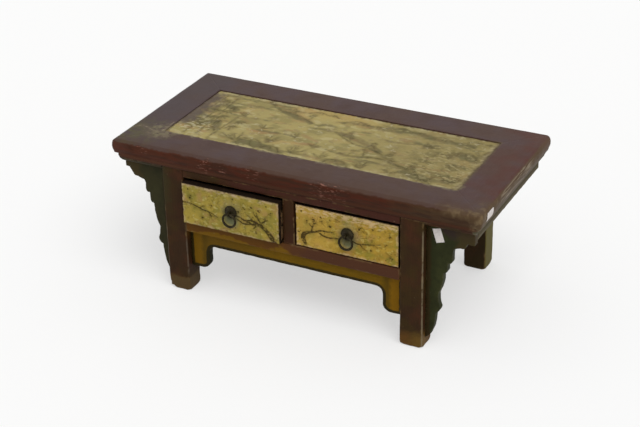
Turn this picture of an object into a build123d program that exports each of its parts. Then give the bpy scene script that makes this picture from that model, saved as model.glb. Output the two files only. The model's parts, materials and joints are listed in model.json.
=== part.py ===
from build123d import *
import os

# Low kang table with two drawers: a mitred top with a floating panel on four recessed legs,
# an open apron, carved wing brackets outside the front legs, and drawers with ring pulls.
# Millimetres. +X is to the right as seen from the front, +Y to the back, +Z up.
# The origin is on the floor, below the middle of the top.

# ---------------------------------------------------------------- overall
table_length = 830
table_width = 400
table_height = 330

# ---------------------------------------------------------------- top
top_thickness = 40
top_rail_width = 82
top_arris_radius = 10
nose_depth = 12             # from the top face down to the fullest point of the rounded edge
nose_bottom_depth = 23      # where the rounded edge ends in a small quirk
quirk_depth = 2
quirk_inset = 6
bead_inset = 3              # the bead below the quirk stands almost as far out as the nose
leg_inset = 4.5             # from the front and rear edges of the top to the legs
panel_thickness = 12
panel_recess = 1.5
panel_gap = 0.5             # all round, so that the panel can swell and shrink
tongue_length = 6
tongue_thickness = 5
tongue_depth = 4            # from the panel's face down to its tongue
batten_width = 28
batten_height = 20
batten_spacing = 260
batten_tenon_length = 10
batten_tenon_height = 12
mitre_tenon_thickness = 10
mitre_tenon_width = 30
mitre_tenon_reach = 24      # past the mitre, into the end member

# ---------------------------------------------------------------- skirt below the top
skirt_inset = 20            # from the top's edges to the end boards, brackets and apron
cornice_height = 12
cornice_lip = 2
cornice_foot = 3
cornice_cove_radius = 24
end_board_thickness = 22
end_board_height = 27
right_board_deeper = 5      # the right-hand end board is cut lower than the left
right_wing_deeper = 11      # and the right-hand bracket lower still
right_arm_slimmer = 7       # but the arm of that bracket is slimmer than the left one's
cornice_pin_diameter = 2.5
cornice_pin_length = 22
cornice_pin_inset = 15

# ---------------------------------------------------------------- leg frame
end_overhang = 120          # from the top's ends in to the legs
leg_width = 50
leg_depth = 46
leg_arris_radius = 3
foot_chamfer = 2.5
leg_tenon_width = 26
leg_tenon_depth = 20
leg_tenon_height = 20
bottom_rail_underside = 148
bottom_rail_height = 25
top_rail_height = 16
rail_tenon_thickness = 12
rail_tenon_length = 18
rail_shoulder = 5
mortise_spare = 1           # a mortise is this much deeper than its tenon is long
stile_width = 25
stile_depth = 30
stile_tenon = 8
side_rail_thickness = 30
side_rail_inset = 5         # from the legs' outer faces to the side rails
side_tenon_thickness = 10
side_tenon_length = 16
board_thickness = 10        # back board and side boards
board_groove = 5

# ---------------------------------------------------------------- apron and wing brackets
skirt_thickness = 16
skirt_tongue_thickness = 6
skirt_tongue_length = 4
apron_height = 35
apron_drop_width = 44
apron_drop_underside = 58
apron_corner_radius = 16
apron_drop_radius = 18
wing_foot = 20              # height at which a bracket dies into the leg

# ---------------------------------------------------------------- drawer runners
runner_height = 20
runner_width = 30
runner_tenon = 8
guide_height = 15
centre_runner_width = 84

# ---------------------------------------------------------------- drawers
drawer_side_gap = 3
drawer_front_lift = 1.5     # from the bottom rail up to the drawer front
drawer_top_gap = 6.5        # from the drawer front up to the top rail, worn wide
drawer_front_thickness = 18
drawer_recess = 1.5         # from the legs' face back to a closed drawer front
drawer_arris_radius = 1.5
drawer_stop_gap = 2         # from a closed drawer's sides to the back board
drawer_lift = 0.3           # from the runners up to the drawer sides
drawer_board_thickness = 10
drawer_side_drop = 14.2     # from the front's upper edge down to the sides
drawer_lap = 10             # how far the sides run into the front
drawer_bottom_thickness = 6
drawer_bottom_lift = 6
drawer_groove = 4
drawer_back_drop = 4        # the back is this much lower than the sides
left_drawer_open = 14
nail_diameter = 2.4
nail_length = 22
nail_count = 3
nail_inset = 5              # up from the drawer front's lower edge to the first nail
nail_edge = 3               # back from the sides' front ends to the nails

# ---------------------------------------------------------------- ring pulls
rosette_diameter = 28.5
rosette_rim = 1
rosette_dome = 3
rosette_above_middle = 4
pull_offset = 2.5           # the pulls sit a little to the right of the fronts' middles
staple_wire = 2.4
staple_eye_radius = 3.8     # to the middle of the wire
staple_reach = 9            # from the drawer front to the middle of the eye
staple_drop = 1.5           # the worn eye hangs a little below its shank
staple_shank = 3.8
staple_clinch = 9           # length of each end bent over inside the drawer
ring_wire = 4.2
ring_radius = 14.4          # to the middle of the wire

# ---------------------------------------------------------------- places worked out from the sizes
half_length = table_length / 2
half_width = table_width / 2
top_underside = table_height - top_thickness
panel_top = table_height - panel_recess
panel_underside = panel_top - panel_thickness
leg_outer = half_length - end_overhang
leg_inner = leg_outer - leg_width
leg_front = half_width - leg_inset
leg_back = leg_front - leg_depth
leg_middle = (leg_front + leg_back) / 2
rail_top = bottom_rail_underside + bottom_rail_height
top_rail_underside = top_underside - top_rail_height
skirt_front = half_width - skirt_inset
skirt_back = skirt_front - skirt_thickness
skirt_middle = (skirt_front + skirt_back) / 2
end_board_outer = half_length - skirt_inset
end_board_inner = end_board_outer - end_board_thickness
side_rail_outer = leg_outer - side_rail_inset
side_rail_inner = side_rail_outer - side_rail_thickness
side_rail_middle = (side_rail_outer + side_rail_inner) / 2
stile_half = stile_width / 2
drawer_middle = (stile_half + leg_inner) / 2
drawer_width = leg_inner - stile_half - 2 * drawer_side_gap
drawer_underside = rail_top + drawer_front_lift
drawer_front_top = top_rail_underside - drawer_top_gap
pull_height = (drawer_underside + drawer_front_top) / 2 + rosette_above_middle
drawer_side_underside = rail_top + drawer_lift
drawer_side_top = drawer_front_top - drawer_side_drop

os.makedirs("parts", exist_ok=True)


def finish(piece, label):
    """Name a piece and write it to its own file."""
    piece.part.label = label
    export_step(piece.part, f"parts/{label}.step")


def block(xs, ys, zs, mode=Mode.ADD):
    """A plain rectangular board between two limits along each axis, in any order."""
    with BuildSketch(Plane.XY.offset(min(zs))) as outline:
        with Locations(((xs[0] + xs[1]) / 2, (ys[0] + ys[1]) / 2)):
            Rectangle(abs(xs[1] - xs[0]), abs(ys[1] - ys[0]))
    extrude(outline.sketch, amount=max(zs) - min(zs), mode=mode)


def on_side(side, near, far):
    """The two limits of a stretch that lies on one side of the middle; side is -1 or 1."""
    return (side * near, side * far)


def around(middle, width):
    """The two limits of a stretch of the given width about its middle."""
    return (middle - width / 2, middle + width / 2)


side_names = {-1: "left", 1: "right"}
end_names = {-1: "front", 1: "rear"}

# Each edge of the top has a plane whose X runs along the edge and whose Y points inwards.
edge_planes = {
    "front": Plane(origin=(0, -half_width, table_height), x_dir=(1, 0, 0), z_dir=(0, 0, 1)),
    "right": Plane(origin=(half_length, 0, table_height), x_dir=(0, 1, 0), z_dir=(0, 0, 1)),
    "rear": Plane(origin=(0, half_width, table_height), x_dir=(-1, 0, 0), z_dir=(0, 0, 1)),
    "left": Plane(origin=(-half_length, 0, table_height), x_dir=(0, -1, 0), z_dir=(0, 0, 1)),
}
edge_lengths = {
    "front": table_length,
    "right": table_width,
    "rear": table_length,
    "left": table_width,
}


def section_plane(edge):
    """Square across an edge of the top: X points inwards and Y up from the top face."""
    return Plane(origin=edge.origin, x_dir=edge.y_dir, z_dir=edge.x_dir)


def mitre(edge, length, ends=(-1, 1)):
    """Cut the piece at 45 degrees at one or both ends of its edge."""
    for end in ends:
        corner = edge.origin + edge.x_dir * (end * length / 2)
        split(bisect_by=Plane(origin=corner, z_dir=edge.x_dir * end + edge.y_dir), keep=Keep.BOTTOM)


# ---------------------------------------------------------------- top frame
def leg_tenon(x_side, y_side, mode=Mode.ADD, spare=0):
    """The tenon on a leg's head, or the mortise for it."""
    block(
        around(x_side * (leg_inner + leg_outer) / 2, leg_tenon_width),
        around(y_side * leg_middle, leg_tenon_depth),
        (top_underside, top_underside + leg_tenon_height + spare),
        mode,
    )


def mitre_tenon(x_side, y_side, mode=Mode.ADD):
    """The tenon of a long member that crosses the mitre into an end member."""
    inset = (top_rail_width - mitre_tenon_width) / 2 + tongue_length
    block(
        on_side(x_side, half_length - inset - mitre_tenon_width, half_length - mitre_tenon_reach),
        on_side(y_side, half_width - inset - mitre_tenon_width, half_width - inset),
        around(top_underside + top_thickness / 2 - tongue_length, mitre_tenon_thickness),
        mode,
    )


def batten_tenon(x_side, y_side, mode=Mode.ADD):
    """The tenon of a batten in a long member."""
    frame_inside = half_width - top_rail_width
    block(
        around(x_side * batten_spacing / 2, batten_width),
        on_side(y_side, frame_inside, frame_inside + batten_tenon_length),
        around(panel_underside - batten_height / 2, batten_tenon_height),
        mode,
    )


def cornice_pin_places():
    """Where the bamboo pins go: two in each strip."""
    end_reach = half_width - 3 * cornice_pin_inset
    strip_middle = half_width - cornice_pin_inset
    places = []
    for x_side in side_names:
        for y_side in end_names:
            places.append((x_side * (half_length - cornice_pin_inset), y_side * end_reach / 2))
            for step in (1, 3):
                x_place = leg_outer + step * (half_length - skirt_inset - leg_outer) / 4
                places.append((x_side * x_place, y_side * strip_middle))
    return places


def cornice_pins_here(mode=Mode.ADD):
    """The bamboo pins, or the holes for them."""
    with BuildSketch(Plane.XY.offset(top_underside - cornice_height + cornice_lip)) as pins:
        with Locations(*cornice_pin_places()):
            Circle(cornice_pin_diameter / 2)
    extrude(pins.sketch, amount=cornice_pin_length, mode=mode)


for name, edge in edge_planes.items():
    with BuildPart() as top_rail:
        with BuildSketch(section_plane(edge)):
            with BuildLine():
                upper = Polyline(
                    (leg_inset, -top_thickness),
                    (top_rail_width, -top_thickness),
                    (top_rail_width, 0),
                    (top_arris_radius, 0),
                )
                arris = RadiusArc(upper @ 1, (0, -top_arris_radius), -top_arris_radius)
                nose = Line(arris @ 1, (0, -nose_depth))
                under_nose = TangentArc(nose @ 1, (quirk_inset, -nose_bottom_depth), tangent=nose % 1)
                quirk = Line(under_nose @ 1, (quirk_inset, -nose_bottom_depth - quirk_depth))
                bead_middle = -(nose_bottom_depth + quirk_depth + top_thickness) / 2
                ThreePointArc(quirk @ 1, (bead_inset, bead_middle), upper @ 0)
            make_face()
        extrude(amount=edge_lengths[name] / 2, both=True)
        with BuildSketch(section_plane(edge)):
            groove_middle = -panel_recess - tongue_depth - tongue_thickness / 2
            with Locations((top_rail_width, groove_middle)):
                Rectangle(2 * tongue_length, tongue_thickness)
        extrude(amount=edge_lengths[name] / 2, both=True, mode=Mode.SUBTRACT)
        mitre(edge, edge_lengths[name])
        for x_side in side_names:
            for y_side in end_names:
                if name == end_names[y_side]:
                    mitre_tenon(x_side, y_side)
                    leg_tenon(x_side, y_side, Mode.SUBTRACT, mortise_spare)
                    batten_tenon(x_side, y_side, Mode.SUBTRACT)
                elif name == side_names[x_side]:
                    mitre_tenon(x_side, y_side, Mode.SUBTRACT)
        cornice_pins_here(Mode.SUBTRACT)
    finish(top_rail, f"top_frame_{name}")

panel_half_length = half_length - top_rail_width - panel_gap
panel_half_width = half_width - top_rail_width - panel_gap
with BuildPart() as top_panel:
    block(
        (-panel_half_length, panel_half_length),
        (-panel_half_width, panel_half_width),
        (panel_underside, panel_top),
    )
    block(
        (-panel_half_length - tongue_length, panel_half_length + tongue_length),
        (-panel_half_width - tongue_length, panel_half_width + tongue_length),
        (panel_top - tongue_depth - tongue_thickness, panel_top - tongue_depth),
    )
finish(top_panel, "top_panel")

for side in side_names:
    with BuildPart() as batten:
        block(
            around(side * batten_spacing / 2, batten_width),
            (top_rail_width - half_width, half_width - top_rail_width),
            (panel_underside - batten_height, panel_underside),
        )
        for y_side in end_names:
            batten_tenon(side, y_side)
    finish(batten, f"top_batten_{side_names[side]}")


# ---------------------------------------------------------------- cornice strips and end boards
def cornice(edge, length, start, end_mitres):
    """A coved strip below an edge of the top, from start to the far corner or corners."""
    with BuildPart() as strip:
        with BuildSketch(section_plane(edge)):
            with BuildLine():
                foot = -top_thickness - cornice_height
                back = Polyline(
                    (leg_inset, -top_thickness - cornice_lip),
                    (leg_inset, -top_thickness),
                    (skirt_inset, -top_thickness),
                    (skirt_inset, foot),
                    (skirt_inset - cornice_foot, foot),
                )
                RadiusArc(back @ 1, back @ 0, cornice_cove_radius)
            make_face()
        extrude(amount=length / 2, both=True)
        mitre(edge, length, end_mitres)
        if start:
            x_cut = on_side(start, 0, leg_outer)
            x_rest = on_side(-start, 0, half_length)
            for xs in (x_cut, x_rest):
                block(xs, (-half_width, half_width), (0, table_height), Mode.SUBTRACT)
        cornice_pins_here(Mode.SUBTRACT)
    return strip


for side in side_names:
    side_name = side_names[side]
    finish(cornice(edge_planes[side_name], table_width, 0, (-1, 1)), f"cornice_{side_name}")
    for end_name in end_names.values():
        far_end = side if end_name == "front" else -side
        strip = cornice(edge_planes[end_name], table_length, side, (far_end,))
        finish(strip, f"cornice_{end_name}_{side_name}")

with BuildPart() as cornice_pins:
    cornice_pins_here()
finish(cornice_pins, "cornice_pins")


def right_only(side, amount):
    """An amount by which the right-hand side differs from the left."""
    return amount if side > 0 else 0


for side in side_names:
    with BuildPart() as end_board:
        block(
            on_side(side, end_board_inner, end_board_outer),
            (-skirt_back, skirt_front),
            (top_underside - end_board_height - right_only(side, right_board_deeper), top_underside),
        )
    finish(end_board, f"end_board_{side_names[side]}")


# ---------------------------------------------------------------- joints of the leg frame
def rail_tenon(x_side, y_side, zs, mode=Mode.ADD, spare=0):
    """The tenon of a front or rear rail in a leg, or its mortise."""
    block(
        on_side(x_side, leg_inner, leg_inner + rail_tenon_length + spare),
        around(y_side * leg_middle, rail_tenon_thickness),
        (zs[0] + rail_shoulder, zs[1] - rail_shoulder),
        mode,
    )


def side_rail_tenon(x_side, y_side, zs, mode=Mode.ADD, spare=0):
    """The tenon of a side rail in a leg, or its mortise."""
    block(
        around(x_side * side_rail_middle, side_tenon_thickness),
        on_side(y_side, leg_back, leg_back + side_tenon_length + spare),
        (zs[0] + rail_shoulder, zs[1] - rail_shoulder),
        mode,
    )


def stile_tenons(mode=Mode.ADD):
    """The tenons at both ends of the centre stile."""
    block(
        around(0, stile_width / 2),
        around(stile_depth / 2 - leg_front, stile_depth / 3),
        (rail_top - stile_tenon, rail_top),
        mode,
    )
    block(
        around(0, stile_width / 2),
        around(stile_depth / 2 - leg_front, stile_depth / 3),
        (top_rail_underside, top_rail_underside + stile_tenon),
        mode,
    )


def side_board_block(side, mode=Mode.ADD):
    """A side board with its edges in the grooves."""
    block(
        around(side * side_rail_middle, board_thickness),
        (-leg_back - board_groove, leg_back + board_groove),
        (rail_top - board_groove, top_rail_underside + board_groove),
        mode,
    )


def back_board_block(mode=Mode.ADD):
    """The back board with its edges in the grooves."""
    block(
        (-leg_inner - board_groove, leg_inner + board_groove),
        around(leg_middle, board_thickness),
        (rail_top - board_groove, top_rail_underside + board_groove),
        mode,
    )


def runner_spans(place):
    """The width of a runner and of the guide on it; place is -1, 0 or 1."""
    if place == 0:
        return around(0, centre_runner_width), around(0, stile_width)
    bed = on_side(place, leg_inner - runner_width, side_rail_inner)
    return bed, on_side(place, leg_inner, side_rail_inner)


def runner_tenons(place, mode=Mode.ADD):
    """The stub tenons of a drawer runner in the front and rear bottom rails."""
    bed_middle = place * (leg_inner - runner_width / 2)
    for y_side in end_names:
        block(
            around(bed_middle, runner_width / 2),
            on_side(y_side, leg_back, leg_back + runner_tenon),
            around(rail_top - runner_height / 2, runner_height / 2),
            mode,
        )


bottom_rail_zs = (bottom_rail_underside, rail_top)
top_rail_zs = (top_rail_underside, top_underside)


# ---------------------------------------------------------------- apron and wing brackets
def skirt_tongue_ys():
    """The thickness of the tongue on the apron and on the brackets."""
    return around(-skirt_middle, skirt_tongue_thickness)


def apron_tongues(mode=Mode.ADD):
    """The apron's tongues in the bottom rail and in the front legs."""
    block(
        (-leg_inner, leg_inner),
        skirt_tongue_ys(),
        (bottom_rail_underside, bottom_rail_underside + skirt_tongue_length),
        mode,
    )
    for side in side_names:
        block(
            on_side(side, leg_inner, leg_inner + skirt_tongue_length),
            skirt_tongue_ys(),
            (apron_drop_underside, bottom_rail_underside + skirt_tongue_length),
            mode,
        )


def wing_tongue(side, mode=Mode.ADD):
    """The tongue of a wing bracket in the outer side of a front leg."""
    block(
        on_side(side, leg_outer - skirt_tongue_length, leg_outer),
        skirt_tongue_ys(),
        (wing_foot, top_underside),
        mode,
    )


def wing_point(side, out, up):
    """A point of a bracket's carved outline, as shares of its reach and of its rise."""
    reach = end_board_outer - leg_outer
    rise = top_underside - end_board_height - wing_foot
    lower = right_only(side, right_wing_deeper)
    return (side * (leg_outer + out * reach), wing_foot + up * rise - lower)


def arm_point(side, out, up):
    """A point on the underside of a bracket's arm."""
    across, height = wing_point(side, out, up)
    return (across, height + right_only(side, right_arm_slimmer))


def wing_curve(side, before, through, to):
    """A round stretch of the carved outline, on from the end of the stretch before it."""
    return ThreePointArc(before @ 1, wing_point(side, *through), wing_point(side, *to))


with BuildPart() as front_apron:
    drop_inner = leg_inner - apron_drop_width
    apron_underside = bottom_rail_underside - apron_height
    with BuildSketch(Plane.XZ.offset(skirt_front)) as apron_face:
        with BuildLine():
            Polyline(
                (-leg_inner, bottom_rail_underside),
                (-leg_inner, apron_drop_underside),
                (-drop_inner, apron_drop_underside),
                (-drop_inner, apron_underside),
                (drop_inner, apron_underside),
                (drop_inner, apron_drop_underside),
                (leg_inner, apron_drop_underside),
                (leg_inner, bottom_rail_underside),
                close=True,
            )
        make_face()
        for height_group, radius in ((-1, apron_corner_radius), (0, apron_drop_radius)):
            inner_corners = apron_face.vertices().filter_by_position(Axis.X, -drop_inner, drop_inner)
            fillet(inner_corners.group_by(Axis.Y)[height_group], radius)
    extrude(amount=-skirt_thickness)
    apron_tongues()
finish(front_apron, "front_apron")

for side in side_names:
    with BuildPart() as wing:
        with BuildSketch(Plane.XZ.offset(skirt_front)):
            with BuildLine():
                arm = Polyline(
                    (side * leg_outer, wing_foot),
                    (side * leg_outer, top_underside),
                    (side * end_board_outer, top_underside),
                    wing_point(side, 1, 1),
                    wing_point(side, 0.91, 1),
                )
                cove_end, cove_middle = arm_point(side, 0.82, 0.942), arm_point(side, 0.862, 0.969)
                arm_cove = ThreePointArc(arm @ 1, cove_middle, cove_end)
                arm_end, arm_middle = arm_point(side, 0.72, 0.922), arm_point(side, 0.79, 0.926)
                shoulder = ThreePointArc(arm_cove @ 1, arm_middle, arm_end)
                arm_foot = Line(shoulder @ 1, arm_point(side, 0.57, 0.903))
                upper_neck = Line(arm_foot @ 1, wing_point(side, 0.54, 0.877))
                upper_lobe = Line(upper_neck @ 1, wing_point(side, 0.545, 0.819))
                upper_round = wing_curve(side, upper_lobe, (0.53, 0.798), (0.45, 0.79))
                middle_lobe = Line(upper_round @ 1, wing_point(side, 0.445, 0.72))
                middle_round = wing_curve(side, middle_lobe, (0.425, 0.7), (0.365, 0.691))
                long_top = Line(middle_round @ 1, wing_point(side, 0.36, 0.621))
                long_slope = wing_curve(side, long_top, (0.32, 0.543), (0.26, 0.481))
                lower_lobe = wing_curve(side, long_slope, (0.27, 0.416), (0.305, 0.358))
                lower_round = wing_curve(side, lower_lobe, (0.29, 0.329), (0.21, 0.3))
                foot_top = wing_curve(side, lower_round, (0.2, 0.226), (0.17, 0.156))
                foot_step = Line(foot_top @ 1, wing_point(side, 0.11, 0.086))
                Line(foot_step @ 1, (side * leg_outer, wing_foot))
            make_face()
        extrude(amount=-skirt_thickness)
        wing_tongue(side)
    finish(wing, f"wing_bracket_{side_names[side]}")

# ---------------------------------------------------------------- legs
for x_side in side_names:
    for y_side in end_names:
        with BuildPart() as leg:
            block(
                on_side(x_side, leg_inner, leg_outer),
                on_side(y_side, leg_back, leg_front),
                (0, top_underside),
            )
            fillet(leg.edges().filter_by(Axis.Z), leg_arris_radius)
            chamfer(leg.faces().sort_by(Axis.Z)[0].edges(), foot_chamfer)
            leg_tenon(x_side, y_side)
            for zs in (bottom_rail_zs, top_rail_zs):
                rail_tenon(x_side, y_side, zs, Mode.SUBTRACT, mortise_spare)
                side_rail_tenon(x_side, y_side, zs, Mode.SUBTRACT, mortise_spare)
            side_board_block(x_side, Mode.SUBTRACT)
            if y_side > 0:
                back_board_block(Mode.SUBTRACT)
            else:
                apron_tongues(Mode.SUBTRACT)
                wing_tongue(x_side, Mode.SUBTRACT)
        finish(leg, f"leg_{end_names[y_side]}_{side_names[x_side]}")

# ---------------------------------------------------------------- rails, stile and boards
for y_side in end_names:
    for level, zs in {"top": top_rail_zs, "bottom": bottom_rail_zs}.items():
        with BuildPart() as rail:
            block((-leg_inner, leg_inner), on_side(y_side, leg_back, leg_front), zs)
            for x_side in side_names:
                rail_tenon(x_side, y_side, zs)
            if y_side > 0:
                back_board_block(Mode.SUBTRACT)
            else:
                stile_tenons(Mode.SUBTRACT)
            if level == "bottom":
                for place in (-1, 0, 1):
                    runner_tenons(place, Mode.SUBTRACT)
            if level == "bottom" and y_side < 0:
                apron_tongues(Mode.SUBTRACT)
        finish(rail, f"{end_names[y_side]}_{level}_rail")

for x_side in side_names:
    for level, zs in {"top": top_rail_zs, "bottom": bottom_rail_zs}.items():
        with BuildPart() as side_rail:
            block(on_side(x_side, side_rail_inner, side_rail_outer), (-leg_back, leg_back), zs)
            for y_side in end_names:
                side_rail_tenon(x_side, y_side, zs)
            side_board_block(x_side, Mode.SUBTRACT)
        finish(side_rail, f"side_{level}_rail_{side_names[x_side]}")

    with BuildPart() as side_board:
        side_board_block(x_side)
    finish(side_board, f"side_board_{side_names[x_side]}")

with BuildPart() as back_board:
    back_board_block()
finish(back_board, "back_board")

with BuildPart() as centre_stile:
    block(around(0, stile_width), (-leg_front, stile_depth - leg_front), (rail_top, top_rail_underside))
    stile_tenons()
finish(centre_stile, "centre_stile")

for place, place_name in {-1: "left", 0: "centre", 1: "right"}.items():
    with BuildPart() as runner:
        bed_xs, guide_xs = runner_spans(place)
        block(bed_xs, (-leg_back, leg_back), (rail_top - runner_height, rail_top))
        block(guide_xs, (-leg_back, leg_back), (rail_top, rail_top + guide_height))
        runner_tenons(place)
    finish(runner, f"drawer_runner_{place_name}")


# ---------------------------------------------------------------- drawers
def nail_places(front_face):
    """Where the nails cross from a drawer side into its front: (y, z)."""
    y_place = front_face + drawer_front_thickness - drawer_lap + nail_edge
    side_height = drawer_side_top - drawer_side_underside
    rise = (side_height - 2 * nail_inset - nail_diameter) / (nail_count - 1)
    first = drawer_underside + nail_inset
    return [(y_place, first + step * rise) for step in range(nail_count)]


def drawer_nails(x_side, front_face, mode=Mode.ADD):
    """The nails through both sides of a drawer, or the holes for them."""
    for end in (-1, 1):
        outer_x = x_side * drawer_middle + end * drawer_width / 2
        with BuildSketch(Plane.YZ.offset(outer_x)) as nails:
            with Locations(*nail_places(front_face)):
                Circle(nail_diameter / 2)
        extrude(nails.sketch, amount=-end * nail_length, mode=mode)


for x_side in side_names:
    side_name = side_names[x_side]
    open_by = left_drawer_open if x_side < 0 else 0
    middle = x_side * drawer_middle
    pull_middle = middle + pull_offset
    front_face = drawer_recess - leg_front - open_by
    front_back = front_face + drawer_front_thickness
    sides_start = front_back - drawer_lap
    drawer_rear = leg_middle - board_thickness / 2 - drawer_stop_gap - open_by
    bottom_underside = drawer_side_underside + drawer_bottom_lift
    bottom_zs = (bottom_underside, bottom_underside + drawer_bottom_thickness)
    inner_half = drawer_width / 2 - drawer_board_thickness
    bottom_xs = around(middle, 2 * (inner_half + drawer_groove))
    bottom_ys = (front_back - drawer_groove, drawer_rear)

    with BuildPart() as drawer_front:
        block(
            around(middle, drawer_width),
            (front_face, front_back),
            (drawer_underside, drawer_front_top),
        )
        fillet(drawer_front.faces().sort_by(Axis.Y)[0].edges(), drawer_arris_radius)
        for end in (-1, 1):
            block(
                (middle + end * inner_half, middle + end * drawer_width / 2),
                (sides_start, front_back),
                (drawer_side_underside, drawer_side_top),
                Mode.SUBTRACT,
            )
        block(bottom_xs, bottom_ys, bottom_zs, Mode.SUBTRACT)
        drawer_nails(x_side, front_face, Mode.SUBTRACT)
        with BuildSketch(Plane.XZ.offset(-front_face)):
            with Locations((pull_middle, pull_height)):
                Circle(staple_shank / 2)
        extrude(amount=-drawer_front_thickness, mode=Mode.SUBTRACT)
    finish(drawer_front, f"drawer_{side_name}_front")

    for end in (-1, 1):
        with BuildPart() as drawer_side:
            block(
                (middle + end * inner_half, middle + end * drawer_width / 2),
                (sides_start, drawer_rear),
                (drawer_side_underside, drawer_side_top),
            )
            block(bottom_xs, bottom_ys, bottom_zs, Mode.SUBTRACT)
            drawer_nails(x_side, front_face, Mode.SUBTRACT)
        finish(drawer_side, f"drawer_{side_name}_side_{side_names[end]}")

    with BuildPart() as drawer_back:
        block(
            around(middle, 2 * inner_half),
            (drawer_rear - drawer_board_thickness, drawer_rear),
            (bottom_zs[1], drawer_side_top - drawer_back_drop),
        )
    finish(drawer_back, f"drawer_{side_name}_back")

    with BuildPart() as drawer_bottom:
        block(bottom_xs, bottom_ys, bottom_zs)
    finish(drawer_bottom, f"drawer_{side_name}_bottom")

    with BuildPart() as nails:
        drawer_nails(x_side, front_face)
    finish(nails, f"drawer_{side_name}_nails")

    # ring pull: the eye stands out from the rosette and the ring hangs through it
    pull_place = (pull_middle, front_face, pull_height)
    face_plane = Plane(origin=pull_place, x_dir=(1, 0, 0), z_dir=(0, -1, 0))
    eye_middle = (pull_middle, front_face - staple_reach, pull_height - staple_drop)

    with BuildPart() as rosette:
        with BuildSketch(Plane(origin=face_plane.origin, x_dir=(1, 0, 0), z_dir=(0, 0, 1))):
            with BuildLine():
                rim = Polyline(
                    (staple_shank / 2, -rosette_dome),
                    (staple_shank / 2, 0),
                    (rosette_diameter / 2, 0),
                    (rosette_diameter / 2, -rosette_rim),
                )
                ThreePointArc(
                    rim @ 1,
                    (rosette_diameter / 4, -(rosette_rim + 2 * rosette_dome) / 3),
                    rim @ 0,
                )
            make_face()
        revolve(axis=Axis(face_plane.origin, (0, 1, 0)))
    finish(rosette, f"drawer_{side_name}_rosette")

    with BuildPart() as staple:
        with BuildSketch(Plane(origin=eye_middle, x_dir=(0, 1, 0), z_dir=(0, 0, 1))):
            with Locations((staple_eye_radius, 0)):
                Circle(staple_wire / 2)
        revolve(axis=Axis(eye_middle, (1, 0, 0)))
        shank_start = staple_reach - staple_eye_radius - staple_wire / 4
        with BuildSketch(face_plane.offset(shank_start)):
            Circle(staple_shank / 2)
        extrude(amount=-shank_start - drawer_front_thickness - staple_wire / 2)
        with BuildSketch(Plane.XY.offset(pull_height - staple_clinch)):
            with Locations((pull_middle, front_back + staple_wire / 2)):
                Circle(staple_wire / 2)
        extrude(amount=2 * staple_clinch)
    finish(staple, f"drawer_{side_name}_staple")

    with BuildPart() as ring:
        ring_middle = (eye_middle[0], eye_middle[1], eye_middle[2] - ring_radius)
        with BuildSketch(Plane(origin=ring_middle, x_dir=(1, 0, 0), z_dir=(0, 0, 1))):
            with Locations((ring_radius, 0)):
                Circle(ring_wire / 2)
        revolve(axis=Axis(ring_middle, (0, 1, 0)))
    finish(ring, f"drawer_{side_name}_ring")
    print(f"{side_name} ring turns about x = {eye_middle[0]}, y = {eye_middle[1]}, z = {eye_middle[2]}")
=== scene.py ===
# %% [markdown]
# # A painted kang table
# A kang table is a low table that stands on the heated brick platform of a north Chinese house.
# This one has a mitred top with a painted panel, two painted drawers with ring pulls, carved
# brackets outside its front legs and an open apron between them. The joinery comes ready-made as
# a fixed frame of separate pieces, and this script gives each piece its worn shape and finish.

# %% Load the frame
import bmesh
import bpy
import json
import math
import numpy as np
import random
from mathutils import Matrix, Vector, noise

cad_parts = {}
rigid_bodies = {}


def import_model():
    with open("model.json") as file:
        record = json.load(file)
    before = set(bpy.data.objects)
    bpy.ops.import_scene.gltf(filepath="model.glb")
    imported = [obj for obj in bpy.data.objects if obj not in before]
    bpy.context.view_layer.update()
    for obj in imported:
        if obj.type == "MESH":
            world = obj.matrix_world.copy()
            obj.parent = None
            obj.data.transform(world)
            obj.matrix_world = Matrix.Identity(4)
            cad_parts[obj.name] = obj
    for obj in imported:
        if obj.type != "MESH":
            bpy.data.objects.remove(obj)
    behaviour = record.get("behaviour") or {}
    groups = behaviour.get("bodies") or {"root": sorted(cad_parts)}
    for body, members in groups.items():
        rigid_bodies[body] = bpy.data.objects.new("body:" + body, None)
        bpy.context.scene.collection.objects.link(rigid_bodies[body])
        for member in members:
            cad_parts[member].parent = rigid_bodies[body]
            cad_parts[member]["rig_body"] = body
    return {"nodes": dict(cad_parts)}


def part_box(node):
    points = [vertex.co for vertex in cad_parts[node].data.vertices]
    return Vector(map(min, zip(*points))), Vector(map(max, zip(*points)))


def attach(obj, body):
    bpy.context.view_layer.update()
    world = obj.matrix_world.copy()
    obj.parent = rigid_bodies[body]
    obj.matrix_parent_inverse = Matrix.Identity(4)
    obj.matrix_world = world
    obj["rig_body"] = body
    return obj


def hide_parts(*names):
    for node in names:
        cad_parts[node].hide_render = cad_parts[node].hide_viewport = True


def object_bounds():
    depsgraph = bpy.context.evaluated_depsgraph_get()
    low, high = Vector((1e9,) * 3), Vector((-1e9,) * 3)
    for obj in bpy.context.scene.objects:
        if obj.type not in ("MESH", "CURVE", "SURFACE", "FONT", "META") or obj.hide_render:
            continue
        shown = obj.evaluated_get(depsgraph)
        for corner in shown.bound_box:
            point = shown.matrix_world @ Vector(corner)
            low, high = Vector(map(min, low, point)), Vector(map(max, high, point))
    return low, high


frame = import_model()
cad_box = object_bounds()
nodes = frame["nodes"]
MM = 0.001
SIDES = {"left": -1, "right": 1}
print("pieces in the frame:", len(nodes))


def box_mm(node):
    """The lowest and highest corners of a joinery piece, in mm."""
    return [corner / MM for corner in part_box(node)]


# %% [markdown]
# ## Camera
# The view is a plain three-quarter one from the right and above. A long lens keeps the edges of
# the top nearly parallel, as in a catalogue picture. The three angles turn the camera about the
# up axis, tip it down and roll it a touch, and its columns are written straight into a matrix.

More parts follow.
